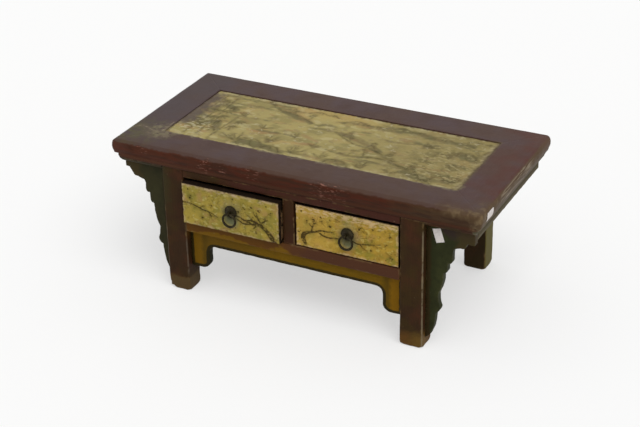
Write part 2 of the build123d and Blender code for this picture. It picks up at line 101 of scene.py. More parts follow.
# %% Camera
CAMERA_TURN = math.radians(27.26)
CAMERA_TILT = math.radians(27.98)
CAMERA_ROLL = math.radians(-1.243)
CAMERA_PLACE = Vector((1.3074, -2.5932, 1.6923))
CAMERA_LENS_MM = 86.57
CAMERA_SENSOR_MM = 36

forward = Vector((
    -math.sin(CAMERA_TURN) * math.cos(CAMERA_TILT),
    math.cos(CAMERA_TURN) * math.cos(CAMERA_TILT),
    -math.sin(CAMERA_TILT),
))
level = Vector((math.cos(CAMERA_TURN), math.sin(CAMERA_TURN), 0))
upright = level.cross(forward)
across = level * math.cos(CAMERA_ROLL) + upright * math.sin(CAMERA_ROLL)
upward = upright * math.cos(CAMERA_ROLL) - level * math.sin(CAMERA_ROLL)

camera = bpy.data.objects.new("camera", bpy.data.cameras.new("camera"))
camera.data.lens = CAMERA_LENS_MM
camera.data.sensor_width = CAMERA_SENSOR_MM
columns = Matrix((across, upward, -forward)).transposed().to_4x4()
camera.matrix_world = Matrix.Translation(CAMERA_PLACE) @ columns
bpy.context.scene.collection.objects.link(camera)
bpy.context.scene.camera = camera
bpy.context.scene.view_settings.view_transform = "Standard"
print("camera is", round(CAMERA_PLACE.length, 2), "m from the table")

# %% [markdown]
# ## Colours and nodes
# Paint colours are easiest to talk about as the hex values of a colour picker, but a shader
# works in linear light, so one function turns one into the other. A second one adds a shader
# node, sets it up and links it, so that each finish below reads as a list of layers. It finds
# the node tree from any socket or node that is already in it. Old paint on this table has lost
# its shine, so its specular level is set far below that of a fresh varnish.

# %% Colour and node helpers
DULL_PAINT = 0.06


def linear(hex_colour):
    """An sRGB hex colour as the linear values that a shader works in."""
    values = [int(hex_colour[i:i + 2], 16) / 255 for i in (1, 3, 5)]
    return tuple(v / 12.92 if v <= 0.04045 else ((v + 0.055) / 1.055) ** 2.4 for v in values) + (1,)


def add_node(beside, kind, inputs=None, **settings):
    """Add a shader node in the tree that holds `beside`, with its inputs set or linked."""
    tree = beside.id_data
    new_node = tree.nodes.new("ShaderNode" + kind)
    for name, value in settings.items():
        setattr(new_node, name, value)
    for name, value in (inputs or {}).items():
        if isinstance(value, bpy.types.NodeSocket):
            tree.links.new(value, new_node.inputs[name])
        else:
            new_node.inputs[name].default_value = value
    return new_node


def new_finish(name, shine=DULL_PAINT):
    """An empty finish: its material, its shader, and the place on the table in mm."""
    material = bpy.data.materials.new(name)
    material.use_nodes = True
    tree = material.node_tree
    tree.nodes.clear()
    shader = add_node(tree, "BsdfPrincipled", {"Specular IOR Level": shine})
    add_node(tree, "OutputMaterial", {"Surface": shader.outputs[0]})
    metres = add_node(tree, "TexCoord").outputs["Object"]
    place = add_node(tree, "VectorMath", {0: metres, "Scale": 1 / MM}, operation="SCALE").outputs[0]
    return material, shader, place


print("a middle grey in linear light:", round(linear("#808080")[0], 3))

# %% [markdown]
# ## Masks
# Old paint is a stack of coats, each worn away somewhere. A mask says where: in cloudy patches,
# along a band, round a spot that was knocked, or near an arris that hands and cloths rub. Every
# mask is given in millimetres on the table, so that it has the size of the real wear, and its
# border is made ragged with noise, because paint never lets go along a straight line.

# %% Masks
def cloudy(place, size, start, end, seed=0.0, detail=3.0):
    """Patches about `size` mm wide: none where the noise is below start, full above end."""
    sizes = size if isinstance(size, tuple) else (size, size, size)
    scaled = add_node(place, "VectorMath", {0: place, 1: sizes}, operation="DIVIDE").outputs[0]
    settings = {"Vector": scaled, "W": seed, "Scale": 1.0, "Detail": detail}
    cloud = add_node(place, "TexNoise", settings, noise_dimensions="4D").outputs[0]
    limits = {"Value": cloud, "From Min": start, "From Max": end}
    return add_node(place, "MapRange", limits).outputs[0]


def ragged_ramp(place, value, start, end, ragged, size=7.0, seed=0.0):
    """None where value is start, full where it is end, with a border that wanders by ragged mm."""
    wander = cloudy(place, size, 0.3, 0.7, seed)
    moved = add_node(place, "Math", {0: wander, 1: ragged, 2: value}, operation="MULTIPLY_ADD").outputs[0]
    middle = ragged / 2
    limits = {"Value": moved, "From Min": start + middle, "From Max": end + middle}
    return add_node(place, "MapRange", limits).outputs[0]


def band(place, axis, start, end, ragged=4.0, size=7.0, seed=0.0):
    """A ramp along the X, Y or Z axis, given in mm on the table."""
    value = add_node(place, "SeparateXYZ", {0: place}).outputs[axis]
    return ragged_ramp(place, value, start, end, ragged, size, seed)


def outward_band(place, start, end, ragged=4.0, size=7.0, seed=0.0):
    """A ramp by the distance from the middle plane, the same on the left and on the right."""
    sideways = add_node(place, "SeparateXYZ", {0: place}).outputs["X"]
    value = add_node(place, "Math", {0: sideways}, operation="ABSOLUTE").outputs[0]
    return ragged_ramp(place, value, start, end, ragged, size, seed)


def around_spot(place, spot, reach, ragged, seed=0.0):
    """Full at a spot on the table and fading out at `reach` mm from it."""
    value = add_node(place, "VectorMath", {0: place, 1: spot}, operation="DISTANCE").outputs["Value"]
    return ragged_ramp(place, value, reach, reach * 0.35, ragged, reach / 5, seed)


def near_line(place, attribute, start, end, ragged, size=9.0, seed=0.0):
    """A ramp by a distance in mm that each point of the mesh keeps, such as edge_mm."""
    value = add_node(place, "Attribute", attribute_name=attribute).outputs["Fac"]
    return ragged_ramp(place, value, start, end, ragged, size, seed)


def crazing(place, size, width, seed=0.0):
    """Fine dark cracks of dried paint between patches about `size` mm wide."""
    wander = cloudy(place, size / 2, 0.2, 0.8, seed)
    scaled = add_node(place, "VectorMath", {0: place, "Scale": 1 / size}, operation="SCALE").outputs[0]
    bent = add_node(place, "VectorMath", {0: scaled, 1: wander}, operation="ADD").outputs[0]
    cells = add_node(place, "TexVoronoi", {"Vector": bent, "Scale": 1.0}, feature="DISTANCE_TO_EDGE")
    limits = {"Value": cells.outputs["Distance"], "From Min": width, "From Max": 0.0}
    return add_node(place, "MapRange", limits).outputs[0]


def both(*masks):
    """Where all the masks show at once."""
    total = masks[0]
    for mask in masks[1:]:
        total = add_node(total, "Math", {0: total, 1: mask}, operation="MULTIPLY").outputs[0]
    return total


def either(*masks):
    """Where at least one of the masks shows."""
    total = masks[0]
    for mask in masks[1:]:
        total = add_node(total, "Math", {0: total, 1: mask}, operation="MAXIMUM").outputs[0]
    return total


print("masks by cloud, axis, spot, mesh value and crack")

# %% [markdown]
# ## Coats
# The coats are mixed over the ground one after another, in the order in which a painter and then
# a century laid them. Some masks also raise or sink the surface by a few hundredths of a
# millimetre or make it duller, so that a chip in the colour is a chip in the surface too.

# %% Coats and surface
def lay_coats(ground, coats):
    """Lay coats over a ground colour: each is a hex colour, its strength and its mask."""
    colour = linear(ground)
    for coat, strength, mask in coats:
        thin = both(mask, strength)
        mixed = {0: thin, 6: colour, 7: linear(coat)}
        colour = add_node(thin, "Mix", mixed, data_type="RGBA").outputs[2]
    return colour


def finish_surface(shader, colour, heights, roughness, rough_mask=None, rough_worn=0.7):
    """Give the shader its colour, its relief (pairs of mask and mm) and its roughness.

    Where the rough mask shows, the roughness is rough_worn."""
    tree = shader.id_data
    tree.links.new(colour, shader.inputs["Base Color"])
    relief = None
    for mask, millimetres in heights:
        if relief is None:
            relief = add_node(shader, "Math", {0: mask, 1: millimetres}, operation="MULTIPLY").outputs[0]
        else:
            terms = {0: mask, 1: millimetres, 2: relief}
            relief = add_node(shader, "Math", terms, operation="MULTIPLY_ADD").outputs[0]
    bump = add_node(shader, "Bump", {"Height": relief, "Distance": MM, "Strength": 1.0})
    tree.links.new(bump.outputs[0], shader.inputs["Normal"])
    if rough_mask is None:
        shader.inputs["Roughness"].default_value = roughness
    else:
        limits = {"Value": rough_mask, "To Min": roughness, "To Max": rough_worn}
        tree.links.new(add_node(shader, "MapRange", limits).outputs[0], shader.inputs["Roughness"])


print("dull paint has a specular level of", DULL_PAINT)

# %% [markdown]
# ## Floor and light
# The table stands on a plain pale floor. A white world lights it evenly, and one very soft sun
# from the upper right gives its edges and its feet a little shadow. Their strengths add up to
# about one on a level surface, so that a colour renders about as it is written. A ray that comes
# from the camera, a reflection or glass finds the floor and the world whiter than the light that
# they give, which makes a pale background without more light on the table.

# %% Floor and light
FLOOR_LENGTH = 12
SEEN_WHITENESS = 0.5
WORLD_LIGHT = 0.6
SUN_LIGHT = 1.6
SUN_SPREAD = math.radians(50)
SUN_DIRECTION = Vector((0.42, -0.36, 0.83))
WHITE = (1, 1, 1, 1)


def looked_at(beside):
    """One for rays that look at a surface, and none for the light that it gives to others."""
    ray = add_node(beside, "LightPath").outputs
    return either(ray["Is Camera Ray"], ray["Is Glossy Ray"], ray["Is Transmission Ray"])


bpy.ops.mesh.primitive_plane_add(size=FLOOR_LENGTH, location=(0, 0, 0))
floor = bpy.context.object
floor.name = "floor"
floor_paper, shader, _ = new_finish("pale_floor_paper")
shader.inputs["Base Color"].default_value = linear("#F6F6F5")
shader.inputs["Roughness"].default_value = 0.9
share = both(looked_at(shader), SEEN_WHITENESS)
white = add_node(shader, "Emission", {"Color": WHITE, "Strength": 1.0}).outputs[0]
whitened = add_node(shader, "MixShader", {0: share, 1: shader.outputs[0], 2: white}).outputs[0]
floor_nodes = floor_paper.node_tree
floor_nodes.links.new(whitened, floor_nodes.nodes["Material Output"].inputs["Surface"])
floor.data.materials.append(floor_paper)

world = bpy.data.worlds.new("soft_white")
world.use_nodes = True
background = world.node_tree.nodes["Background"]
background.inputs["Color"].default_value = WHITE
limits = {"Value": looked_at(background), "To Min": WORLD_LIGHT, "To Max": 1.0}
strength = add_node(background, "MapRange", limits).outputs[0]
world.node_tree.links.new(strength, background.inputs["Strength"])
bpy.context.scene.world = world

sun = bpy.data.objects.new("soft_sun", bpy.data.lights.new("soft_sun", "SUN"))
sun.data.energy = SUN_LIGHT
sun.data.angle = SUN_SPREAD
sun.rotation_euler = SUN_DIRECTION.to_track_quat("Z", "Y").to_euler()
bpy.context.scene.collection.objects.link(sun)
print("world gives", WORLD_LIGHT, "and the sun", SUN_LIGHT)

# %% [markdown]
# ## Brown lacquer on the stand
# The legs and rails are softwood under a thin brown lacquer, brushed on over a reddish ground
# and rubbed for a century. The eye sees a dull dark brown that turns redder or more olive in
# clouds, and faint grain along each member. The finish is a list of coats, and what lies in one
# part of the stand is kept in a small function of its own: the rails between the legs are
# browner and the stile between the drawers redder, while the rear is painted darker and more
# olive as shade, and the outer faces of its legs a paler olive as a lit side.

# %% Coats of the rails and of the rear
LEG_LOW, LEG_HIGH = box_mm("leg_front_right")
LEG_FRONT, LEG_OUTER, LEG_INNER = LEG_LOW.y, LEG_HIGH.x, LEG_LOW.x
LOW_RAIL_UNDERSIDE, LOW_RAIL_TOP = (corner.z for corner in box_mm("front_bottom_rail"))
TOP_RAIL_UNDERSIDE = box_mm("front_top_rail")[0].z
FOOT_LINE = 32.0
REAR_FROM = 100.0


def rail_coats(place):
    """Browner coats on the two front rails, and a redder one on the stile between them."""
    low_rail = both(
        band(place, "Z", LOW_RAIL_TOP + 4, LOW_RAIL_TOP, 2.0, 12.0, 11.0),
        band(place, "Z", FOOT_LINE + 90, FOOT_LINE + 112, 2.0, 12.0, 11.5),
        outward_band(place, LEG_INNER + 1, LEG_INNER - 2, 1.0, 8.0, 12.0),
    )
    low_rail_right = both(low_rail, band(place, "X", -60, 40, 50.0, 40.0, 13.0))
    lap = both(
        low_rail,
        band(place, "Z", LOW_RAIL_UNDERSIDE + 7, LOW_RAIL_UNDERSIDE + 3, 34.0, 60.0, 12.7),
        band(place, "X", 60, -20, 60.0, 40.0, 12.8),
    )
    top_rail = both(
        band(place, "Z", TOP_RAIL_UNDERSIDE - 4, TOP_RAIL_UNDERSIDE, 2.0, 12.0, 12.3),
        outward_band(place, LEG_INNER + 1, LEG_INNER - 2, 1.0, 8.0, 12.4),
        band(place, "X", -170, -90, 50.0, 30.0, 12.5),
        cloudy(place, 30.0, 0.36, 0.5, 12.6),
    )
    stile = both(
        outward_band(place, 24, 18, 1.0, 8.0, 8.2),
        band(place, "Z", LOW_RAIL_TOP - 3, LOW_RAIL_TOP, 1.0, 12.0, 8.3),
        band(place, "Z", TOP_RAIL_UNDERSIDE + 3, TOP_RAIL_UNDERSIDE, 1.0, 12.0, 8.4),
    )
    return [
        ("#5D3B0E", 0.85, low_rail),
        ("#442820", 0.75, low_rail_right),
        ("#6E5008", 0.8, lap),
        ("#41211A", 0.75, top_rail),
        ("#331A0E", 0.5, stile),
    ]


def rear_coats(place):
    """Painted shade on the rear, a painted lit olive on its outer faces, and a mossy olive high on the left
    leg.
    """
    # painted shade: the rear of the stand is coloured darker and more olive
    rear = band(place, "Y", REAR_FROM - 10, REAR_FROM + 10, 8.0, 20.0, 10.0)
    # painted light: the outer faces of the rear legs are a paler olive, as a lit side
    painted_lit_outer_faces = both(rear, outward_band(place, LEG_OUTER - 1.4, LEG_OUTER - 0.5, 0.4, 6.0, 10.5))
    mossy = both(
        band(place, "X", -LEG_OUTER + 22, -LEG_OUTER + 6, 12.0, 20.0, 18.0),
        band(place, "Z", 175, 215, 20.0, 20.0, 18.5),
    )
    return [
        ("#29210F", 0.65, rear),
        ("#5A521E", 0.85, painted_lit_outer_faces),
        ("#332E18", 0.75, mossy),
    ]


print("rails lie at", round(LOW_RAIL_TOP, 1), "and", round(TOP_RAIL_UNDERSIDE, 1), "mm")

# %% [markdown]
# ## Feet and bare arrises
# The front feet have soaked up damp and dust and are tan. The left one ends in a clear line at
# about three centimetres, the right one fades out below it, and the rear ones stayed dark. A
# few arrises of the front legs have lost their paint in a thin broken line. The mesh itself
# says how far each point lies from an arris, so the line follows the leg wherever it is worn.

# %% Coats of the feet and of the bare arrises
def foot_coats(place):
    """Tan feet at the front, greyer on the left and rubbed at the heel of the right."""
    left_half = band(place, "X", 0, -20)
    clear_line = both(left_half, band(place, "Z", FOOT_LINE + 3, FOOT_LINE - 3, 6.0, 16.0, 8.0))
    faded_line = band(place, "Z", FOOT_LINE + 6, FOOT_LINE - 16, 12.0, 16.0, 8.5)
    front_half = band(place, "Y", REAR_FROM + 10, REAR_FROM - 10, 8.0, 20.0, 10.0)
    foot = both(either(clear_line, faded_line), front_half)
    return [
        ("#593E18", 0.8, foot),
        ("#5A3A17", 0.55, both(foot, cloudy(place, 20.0, 0.44, 0.6, 9.0))),
        ("#4A3E28", 0.72, both(foot, left_half)),
        ("#614B1E", 0.6, around_spot(place, (LEG_OUTER, LEG_FRONT, 14), 34.0, 12.0, 9.5)),
    ]


def arris_coats(place):
    """Pale lines on three arrises: the outer ones of both front legs and one inner one."""
    front_arris = both(
        near_line(place, "edge_mm", 2.6, 1.4, 1.0, 12.0, 14.0),
        band(place, "Y", LEG_FRONT + 4, LEG_FRONT + 2, 0.5, 7.0, 14.2),
        either(band(place, "X", -20, 0), band(place, "Z", FOOT_LINE, FOOT_LINE + 14, 12.0, 12.0, 14.4)),
        cloudy(place, 14.0, 0.32, 0.46, 14.6),
    )
    right_line = both(
        front_arris,
        band(place, "X", LEG_OUTER - 5, LEG_OUTER - 3, 0.5, 7.0, 15.0),
        band(place, "Z", 270, 255, 10.0, 20.0, 15.5),
    )
    left_line = both(
        front_arris,
        band(place, "X", -LEG_OUTER + 5, -LEG_OUTER + 3, 0.5, 7.0, 16.0),
        band(place, "Z", 152, 140, 10.0, 20.0, 16.5),
    )
    inner_line = both(
        front_arris,
        band(place, "X", -LEG_INNER - 5, -LEG_INNER - 3, 0.5, 7.0, 17.0),
        band(place, "X", -LEG_INNER + 6, -LEG_INNER + 3, 0.5, 7.0, 17.1),
        band(place, "Z", 135, 122, 10.0, 20.0, 17.5),
    )
    return [
        ("#786C56", 0.6, right_line),
        ("#5A5448", 0.5, left_line),
        ("#62574A", 0.5, inner_line),
    ]


print("the tan of the left foot ends", FOOT_LINE, "mm above the floor")

# %% [markdown]
# ## All the coats of the stand
# The grain follows the member, so there is one finish for each direction that a member can run.
# The clouds of red, olive and dark lie lowest, and the worn arrises and the scuffs on top.

# %% Stand lacquer
GRAIN_SIZES = {"X": (45, 2.2, 2.2), "Y": (2.2, 45, 2.2), "Z": (2.2, 2.2, 45)}


def stand_lacquer(along):
    material, shader, place = new_finish(f"brown_lacquer_along_{along}")
    grain = cloudy(place, GRAIN_SIZES[along], 0.35, 0.65, 1.0, 2.0)
    red = cloudy(place, 46.0, 0.47, 0.64, 2.0)
    olive = cloudy(place, 58.0, 0.48, 0.62, 3.0)
    dark = cloudy(place, 24.0, 0.55, 0.72, 4.0)
    broken = cloudy(place, 38.0, 0.5, 0.58, 5.0)
    worn = both(near_line(place, "edge_mm", 3.0, 0.0, 3.6, 10.0, 6.0), broken)
    scuffs = cloudy(place, 5.0, 0.69, 0.73, 7.0, 4.0)
    coats = [("#482716", 0.6, red), ("#382B0F", 0.6, olive), ("#22150A", 0.5, dark), ("#28190C", 0.3, grain)]
    coats += rail_coats(place) + rear_coats(place) + foot_coats(place)
    coats += [("#6A5638", 0.6, worn), ("#7A6A50", 0.4, scuffs)] + arris_coats(place)
    colour = lay_coats("#342212", coats)
    finish_surface(shader, colour, [(grain, 0.08), (worn, -0.25), (scuffs, -0.2)], 0.5, worn, 0.65)
    return material


lacquer_along = {axis: stand_lacquer(axis) for axis in "XYZ"}
print("stand finishes:", len(lacquer_along))

# %% [markdown]
# ## Flat faces of the top
# The same brown lacquer covers the mitred top, but here it is painted greyer and more purple:
# partly wear from wiping and setting things down, and partly a painted sheen, the pale
# reflection that lacquer shows at a low angle. The left end is the greyest, the right one is
# redder, the front left corner is rubbed greenish, and dirt and smears lie along the panel, with
# a painted shade along its rear edge.

# %% Coats of the flat faces
TABLE_LOW, TABLE_HIGH = (corner / MM for corner in cad_box)
TOP_FRONT = box_mm("top_frame_front")[0].y
TOP_LEFT, TOP_RIGHT = TABLE_LOW.x, TABLE_HIGH.x
TOP_FACE = TABLE_HIGH.z


def flat_coats(place):
    """What hands, cloths and dirt have left on the flat faces, by end and by corner, with a painted shade
    along the rear of the panel.
    """
    left_grey = band(place, "X", TOP_LEFT + 150, TOP_LEFT + 40, 60.0, 50.0, 25.0)
    red_end = both(
        band(place, "X", TOP_RIGHT - 100, TOP_RIGHT - 30, 50.0, 40.0, 26.0),
        band(place, "Y", TOP_FRONT + 50, TOP_FRONT + 110, 40.0, 30.0, 27.0),
        cloudy(place, 50.0, 0.28, 0.66, 28.0),
    )
    green_corner = both(
        around_spot(place, (TOP_LEFT + 22, TOP_FRONT + 52, TOP_FACE), 84.0, 44.0, 29.0),
        cloudy(place, 20.0, 0.36, 0.52, 29.5),
    )
    panel_corner = both(
        around_spot(place, (-334, -116, TOP_FACE), 44.0, 24.0, 30.0),
        cloudy(place, 9.0, 0.42, 0.56, 30.5, 4.0),
    )
    # darker along the rear edge of the panel: dirt, and a painted shade where the frame meets the panel
    dirt_and_shade_by_panel = both(
        near_line(place, "panel_mm", 4.0, 0.0, 3.5, 12.0, 53.0),
        band(place, "Y", 20, 100, 30.0, 30.0, 53.5),
    )
    cream_smudge = both(
        near_line(place, "panel_mm", 7.0, 0.0, 12.0, 14.0, 54.0),
        cloudy(place, 30.0, 0.48, 0.56, 54.5),
        band(place, "Y", -96, -110, 10.0, 20.0, 54.7),
    )
    right_halo = both(
        near_line(place, "panel_mm", 6.0, 0.0, 5.0, 12.0, 55.0),
        band(place, "X", 300, 326, 16.0, 20.0, 55.5),
    )
    return [
        ("#494243", 0.6, left_grey),
        ("#542C23", 0.62, red_end),
        ("#544E37", 0.8, green_corner),
        ("#8A8262", 0.5, panel_corner),
        ("#6E5E50", 0.3, near_line(place, "scratch_mm", 10.0, 0.0, 8.0, 9.0, 52.0)),
        ("#4C372B", 0.5, band(place, "Y", TOP_FRONT + 40, TOP_FRONT + 8, 22.0, 26.0, 35.5)),
        ("#3A2219", 0.6, dirt_and_shade_by_panel),
        ("#8A8062", 0.45, cream_smudge),
        ("#5E5138", 0.6, right_halo),
    ]


print("the top lies", round(TOP_FACE, 1), "mm above the floor")

# %% [markdown]
# ## Rounded edge and bead of the top
# The rounded edge kept more of the red ground, and the bead below it is a dusty brown. A narrow
# quirk parts the two in the joinery. Here it counts as filled with lacquer, and the edge hangs
# lower, over a thinner bead, so the colours change at that lower height.

# %% Coats of the rounded edge and the bead
MADE_QUIRK = TOP_FACE - 23
QUIRK = TOP_FACE - 31


def edge_coats(place):
    """The coats of the rounded edge from left to right, and of the bead and the right end."""
    nose = band(place, "Z", TOP_FACE - 3.5, TOP_FACE - 7, 3.0, 12.0, 34.0)
    nose_red = both(nose, cloudy(place, (60.0, 60.0, 7.0), 0.44, 0.6, 35.0))
    nose_left = both(nose, band(place, "X", -140, -270, 70.0, 40.0, 36.0))
    nose_right = both(nose, band(place, "X", 190, 290, 60.0, 40.0, 37.0))
    nose_dark = both(nose, cloudy(place, (50.0, 50.0, 9.0), 0.48, 0.62, 34.7, 4.0))
    left_corner = both(nose, around_spot(place, (TOP_LEFT, TOP_FRONT, TOP_FACE - 12), 56.0, 26.0, 34.5))
    bead = band(place, "Z", QUIRK + 1, QUIRK - 1.5, 1.0, 9.0, 38.0)
    # painted shade: the lower part of the bead, which faces down, is coloured darker
    bead_underside_shade = band(place, "Z", QUIRK - 4, QUIRK - 8, 2.0, 12.0, 39.0)
    right_edge = band(place, "X", TOP_RIGHT - 6, TOP_RIGHT - 3.5, 2.0, 12.0, 40.0)
    right_bead = both(bead, band(place, "X", TOP_RIGHT - 14, TOP_RIGHT - 10, 2.0, 12.0, 41.0))
    long_lines = cloudy(place, (60.0, 70.0, 2.0), 0.54, 0.6, 42.0)
    return [
        ("#3D2012", 0.92, nose),
        ("#491E10", 0.7, nose_red),
        ("#4D281A", 0.5, nose_left),
        ("#40301F", 0.8, nose_right),
        ("#321F15", 0.65, nose_dark),
        ("#513229", 0.55, left_corner),
        ("#402619", 0.9, bead),
        ("#4C3022", 0.6, both(bead, nose_left)),
        ("#311C13", 0.6, bead_underside_shade),
        ("#51402E", 0.85, right_edge),
        ("#585040", 0.9, right_bead),
        ("#7B6C5C", 0.5, both(right_bead, long_lines)),
    ]


print("the rounded edge is", round(TOP_FACE - QUIRK, 1), "mm deep")

# %% [markdown]
# ## Knocks on the top
# The front right corner is rubbed to a pale brown, the right-hand edge is scraped along its
# middle, and small chips sit on the front arris in a few places only. Each of these is one mask,
# because it both changes the colour and lies a little below the paint round it.

# %% Rubbed corner, scraped edge and chipped arris
CHIPPED_SPOTS = [(92, 323, 48), (-190, 313, 22), (-150, 310, 14), (-80, 318, 22), (-338, 326, 20)]


def rubbed_corner(place):
    """The pale front right corner, on its flat face and its end but not far along the front."""
    return both(
        around_spot(place, (TOP_RIGHT - 22, TOP_FRONT + 4, TOP_FACE - 6), 84.0, 50.0, 31.0),
        either(
            band(place, "Y", TOP_FRONT + 24, TOP_FRONT + 8, 18.0, 16.0, 31.5),
            band(place, "X", TOP_RIGHT - 26, TOP_RIGHT - 8, 18.0, 16.0, 31.7),
        ),
        either(
            band(place, "Z", TOP_FACE - 17, TOP_FACE - 8, 8.0, 14.0, 31.8),
            band(place, "X", TOP_RIGHT - 28, TOP_RIGHT - 12, 12.0, 14.0, 31.9),
        ),
    )


def scraped_edge(place):
    """Long scrapes along the middle of the right-hand edge."""
    return both(
        band(place, "X", TOP_RIGHT - 4, TOP_RIGHT - 2, 1.5, 12.0, 43.0),
        band(place, "Y", -104, -76, 20.0, 14.0, 44.0),
        band(place, "Y", 92, 60, 20.0, 14.0, 45.0),
        cloudy(place, (20.0, 46.0, 2.2), 0.49, 0.55, 46.0, 4.0),
    )


def chipped_arris(place):
    """Chips of the front arris, within reach of a few knocked spots given by X, Z and reach."""
    front_zone = band(place, "Y", TOP_FRONT + 9, TOP_FRONT + 6, 2.0, 8.0, 47.0)
    spots = [
        around_spot(place, (x, TOP_FRONT, z), reach, 12.0, 48.0 + x / 100)
        for x, z, reach in CHIPPED_SPOTS
    ]
    return both(front_zone, either(*spots), cloudy(place, (12.0, 5.0, 2.0), 0.58, 0.62, 49.0, 4.0))


print("chipped spots on the front arris:", len(CHIPPED_SPOTS))

# %% Top lacquer
def top_lacquer(along):
    material, shader, place = new_finish(f"wiped_brown_lacquer_along_{along}")
    grain = cloudy(place, GRAIN_SIZES[along], 0.35, 0.65, 21.0, 2.0)
    # grey-purple clouds: random tone, and together with the ground a painted sheen on the top
    purple = cloudy(place, 70.0, 0.42, 0.62, 22.0)
    brown = cloudy(place, 44.0, 0.5, 0.68, 23.0)
    mottled = cloudy(place, 15.0, 0.5, 0.7, 24.0, 4.0)
    pale_corner = rubbed_corner(place)
    pale_broken = both(pale_corner, cloudy(place, 12.0, 0.46, 0.62, 32.0, 4.0))
    rear_corner = around_spot(place, (TOP_RIGHT - 6, -TOP_FRONT - 20, TOP_FACE - 4), 46.0, 30.0, 33.0)
    streaks = scraped_edge(place)
    chips = chipped_arris(place)
    flecks = cloudy(place, 3.2, 0.71, 0.74, 50.0, 4.0)
    scratched = near_line(place, "scratch_mm", 0.8, -0.4, 1.2, 5.0, 51.0)
    coats = [
        ("#504347", 0.6, purple),
        ("#47332B", 0.5, brown),
        ("#5D4D46", 0.4, mottled),
        ("#3E2E28", 0.22, grain),
    ]
    coats += flat_coats(place) + edge_coats(place)
    coats += [
        ("#54432F", 0.7, pale_corner),
        ("#766449", 0.5, pale_broken),
        ("#594036", 0.45, rear_corner),
        ("#958874", 0.55, streaks),
        ("#96695A", 0.7, chips),
        ("#857260", 0.35, flecks),
        ("#9E9178", 0.75, scratched),
    ]
    # the grey-brown ground is partly worn lacquer and partly a painted sheen, greyer and lighter than on the
    # stand
    colour = lay_coats("#513F38", coats)
    knocks = [(chips, -0.3), (streaks, -0.2), (pale_broken, -0.3), (scratched, -0.15)]
    finish_surface(shader, colour, [(grain, 0.06), (mottled, 0.1)] + knocks, 0.5, mottled, 0.58)
    return material


top_lacquer_along = {axis: top_lacquer(axis) for axis in "XY"}
print("top finishes:", len(top_lacquer_along))

# %% [markdown]
# ## Skirt, brackets and apron
# The strips and boards just below the top were brushed with the same brown, the carved brackets
# are dark green, and the apron is a warm ochre that is olive in the shade of the rail, brightest
# on its drop ends, and outlined along its lower edge with a narrow line of dark green. The carved
# edges of all three are rubbed back a little.

# %% Skirt lacquer
BOARD_OUTER = box_mm("end_board_right")[1].x
STRIP_UNDERSIDE = box_mm("cornice_front_right")[0].z


def skirt_lacquer():
    material, shader, place = new_finish("brown_lacquer_on_skirt")
    streaks = cloudy(place, (30.0, 30.0, 3.0), 0.4, 0.62, 61.0)
    green = cloudy(place, 35.0, 0.46, 0.62, 62.0)
    worn = both(
        near_line(place, "edge_mm", 2.6, 0.0, 3.0, 10.0, 63.0),
        cloudy(place, 26.0, 0.5, 0.58, 63.5),
    )
    left_strip = band(place, "X", -250, -290, 10.0, 12.0, 64.0)
    grey_end = band(place, "X", BOARD_OUTER - 1.0, BOARD_OUTER + 1.0, 1.0, 12.0, 65.0)
    long_lines = both(grey_end, cloudy(place, (50.0, 60.0, 1.8), 0.54, 0.6, 66.0))
    board_face = both(
        band(place, "X", BOARD_OUTER - 3.0, BOARD_OUTER - 1.2, 1.0, 12.0, 67.0),
        band(place, "Z", STRIP_UNDERSIDE + 1, STRIP_UNDERSIDE - 2, 1.0, 12.0, 68.0),
    )
    board_low = both(board_face, band(place, "Z", 268, 262, 3.0, 14.0, 69.0))
    coats = [
        ("#2C1A13", 0.6, streaks),
        ("#332D1B", 0.6, green),
        ("#322D1D", 0.7, left_strip),
        ("#4E4B39", 0.85, grey_end),
        ("#777259", 0.5, long_lines),
        ("#40361C", 0.8, board_face),
        ("#625A45", 0.5, board_low),
        ("#665338", 0.6, worn),
    ]
    colour = lay_coats("#3F2716", coats)
    finish_surface(shader, colour, [(streaks, 0.1), (worn, -0.2)], 0.55)
    return material


skirt_brown = skirt_lacquer()
print("made", skirt_brown.name)

# %% Bracket green
def bracket_green():
    material, shader, place = new_finish("dark_green_paint")
    mossy = cloudy(place, 34.0, 0.42, 0.64, 71.0)
    black = cloudy(place, 22.0, 0.5, 0.7, 72.0)
    upper = both(
        band(place, "Z", 254.0, 268.0, 14.0, 20.0, 73.0),
        band(place, "X", 318, 332, 12.0, 16.0, 73.5),
    )
    arm = outward_band(place, 352.0, 366.0, 14.0, 14.0, 75.0)
    beside_leg = outward_band(place, LEG_OUTER + 12, LEG_OUTER + 7, 4.0, 14.0, 76.0)
    worn = both(
        near_line(place, "edge_mm", 2.6, 0.0, 3.0, 9.0, 77.0),
        cloudy(place, 24.0, 0.46, 0.56, 77.5),
    )
    specks = cloudy(place, 4.0, 0.7, 0.73, 78.0, 4.0)
    left_bracket = band(place, "X", -200, -240, 6.0, 14.0, 79.0)
    coats = [
        ("#36391D", 0.6, mossy),
        ("#332C1C", 0.5, left_bracket),
        ("#1E2010", 0.55, black),
        ("#332523", 0.8, upper),
        ("#40341C", 0.7, arm),
        ("#2E220F", 0.85, beside_leg),
        ("#504C33", 0.5, worn),
        ("#6B6650", 0.4, specks),
    ]
    colour = lay_coats("#282A15", coats)
    finish_surface(shader, colour, [(mossy, 0.15), (worn, -0.3), (specks, -0.2)], 0.55)
    return material


bracket_paint = bracket_green()
print("made", bracket_paint.name)

# %% Apron ochre
APRON_LOW, APRON_HIGH = box_mm("front_apron")


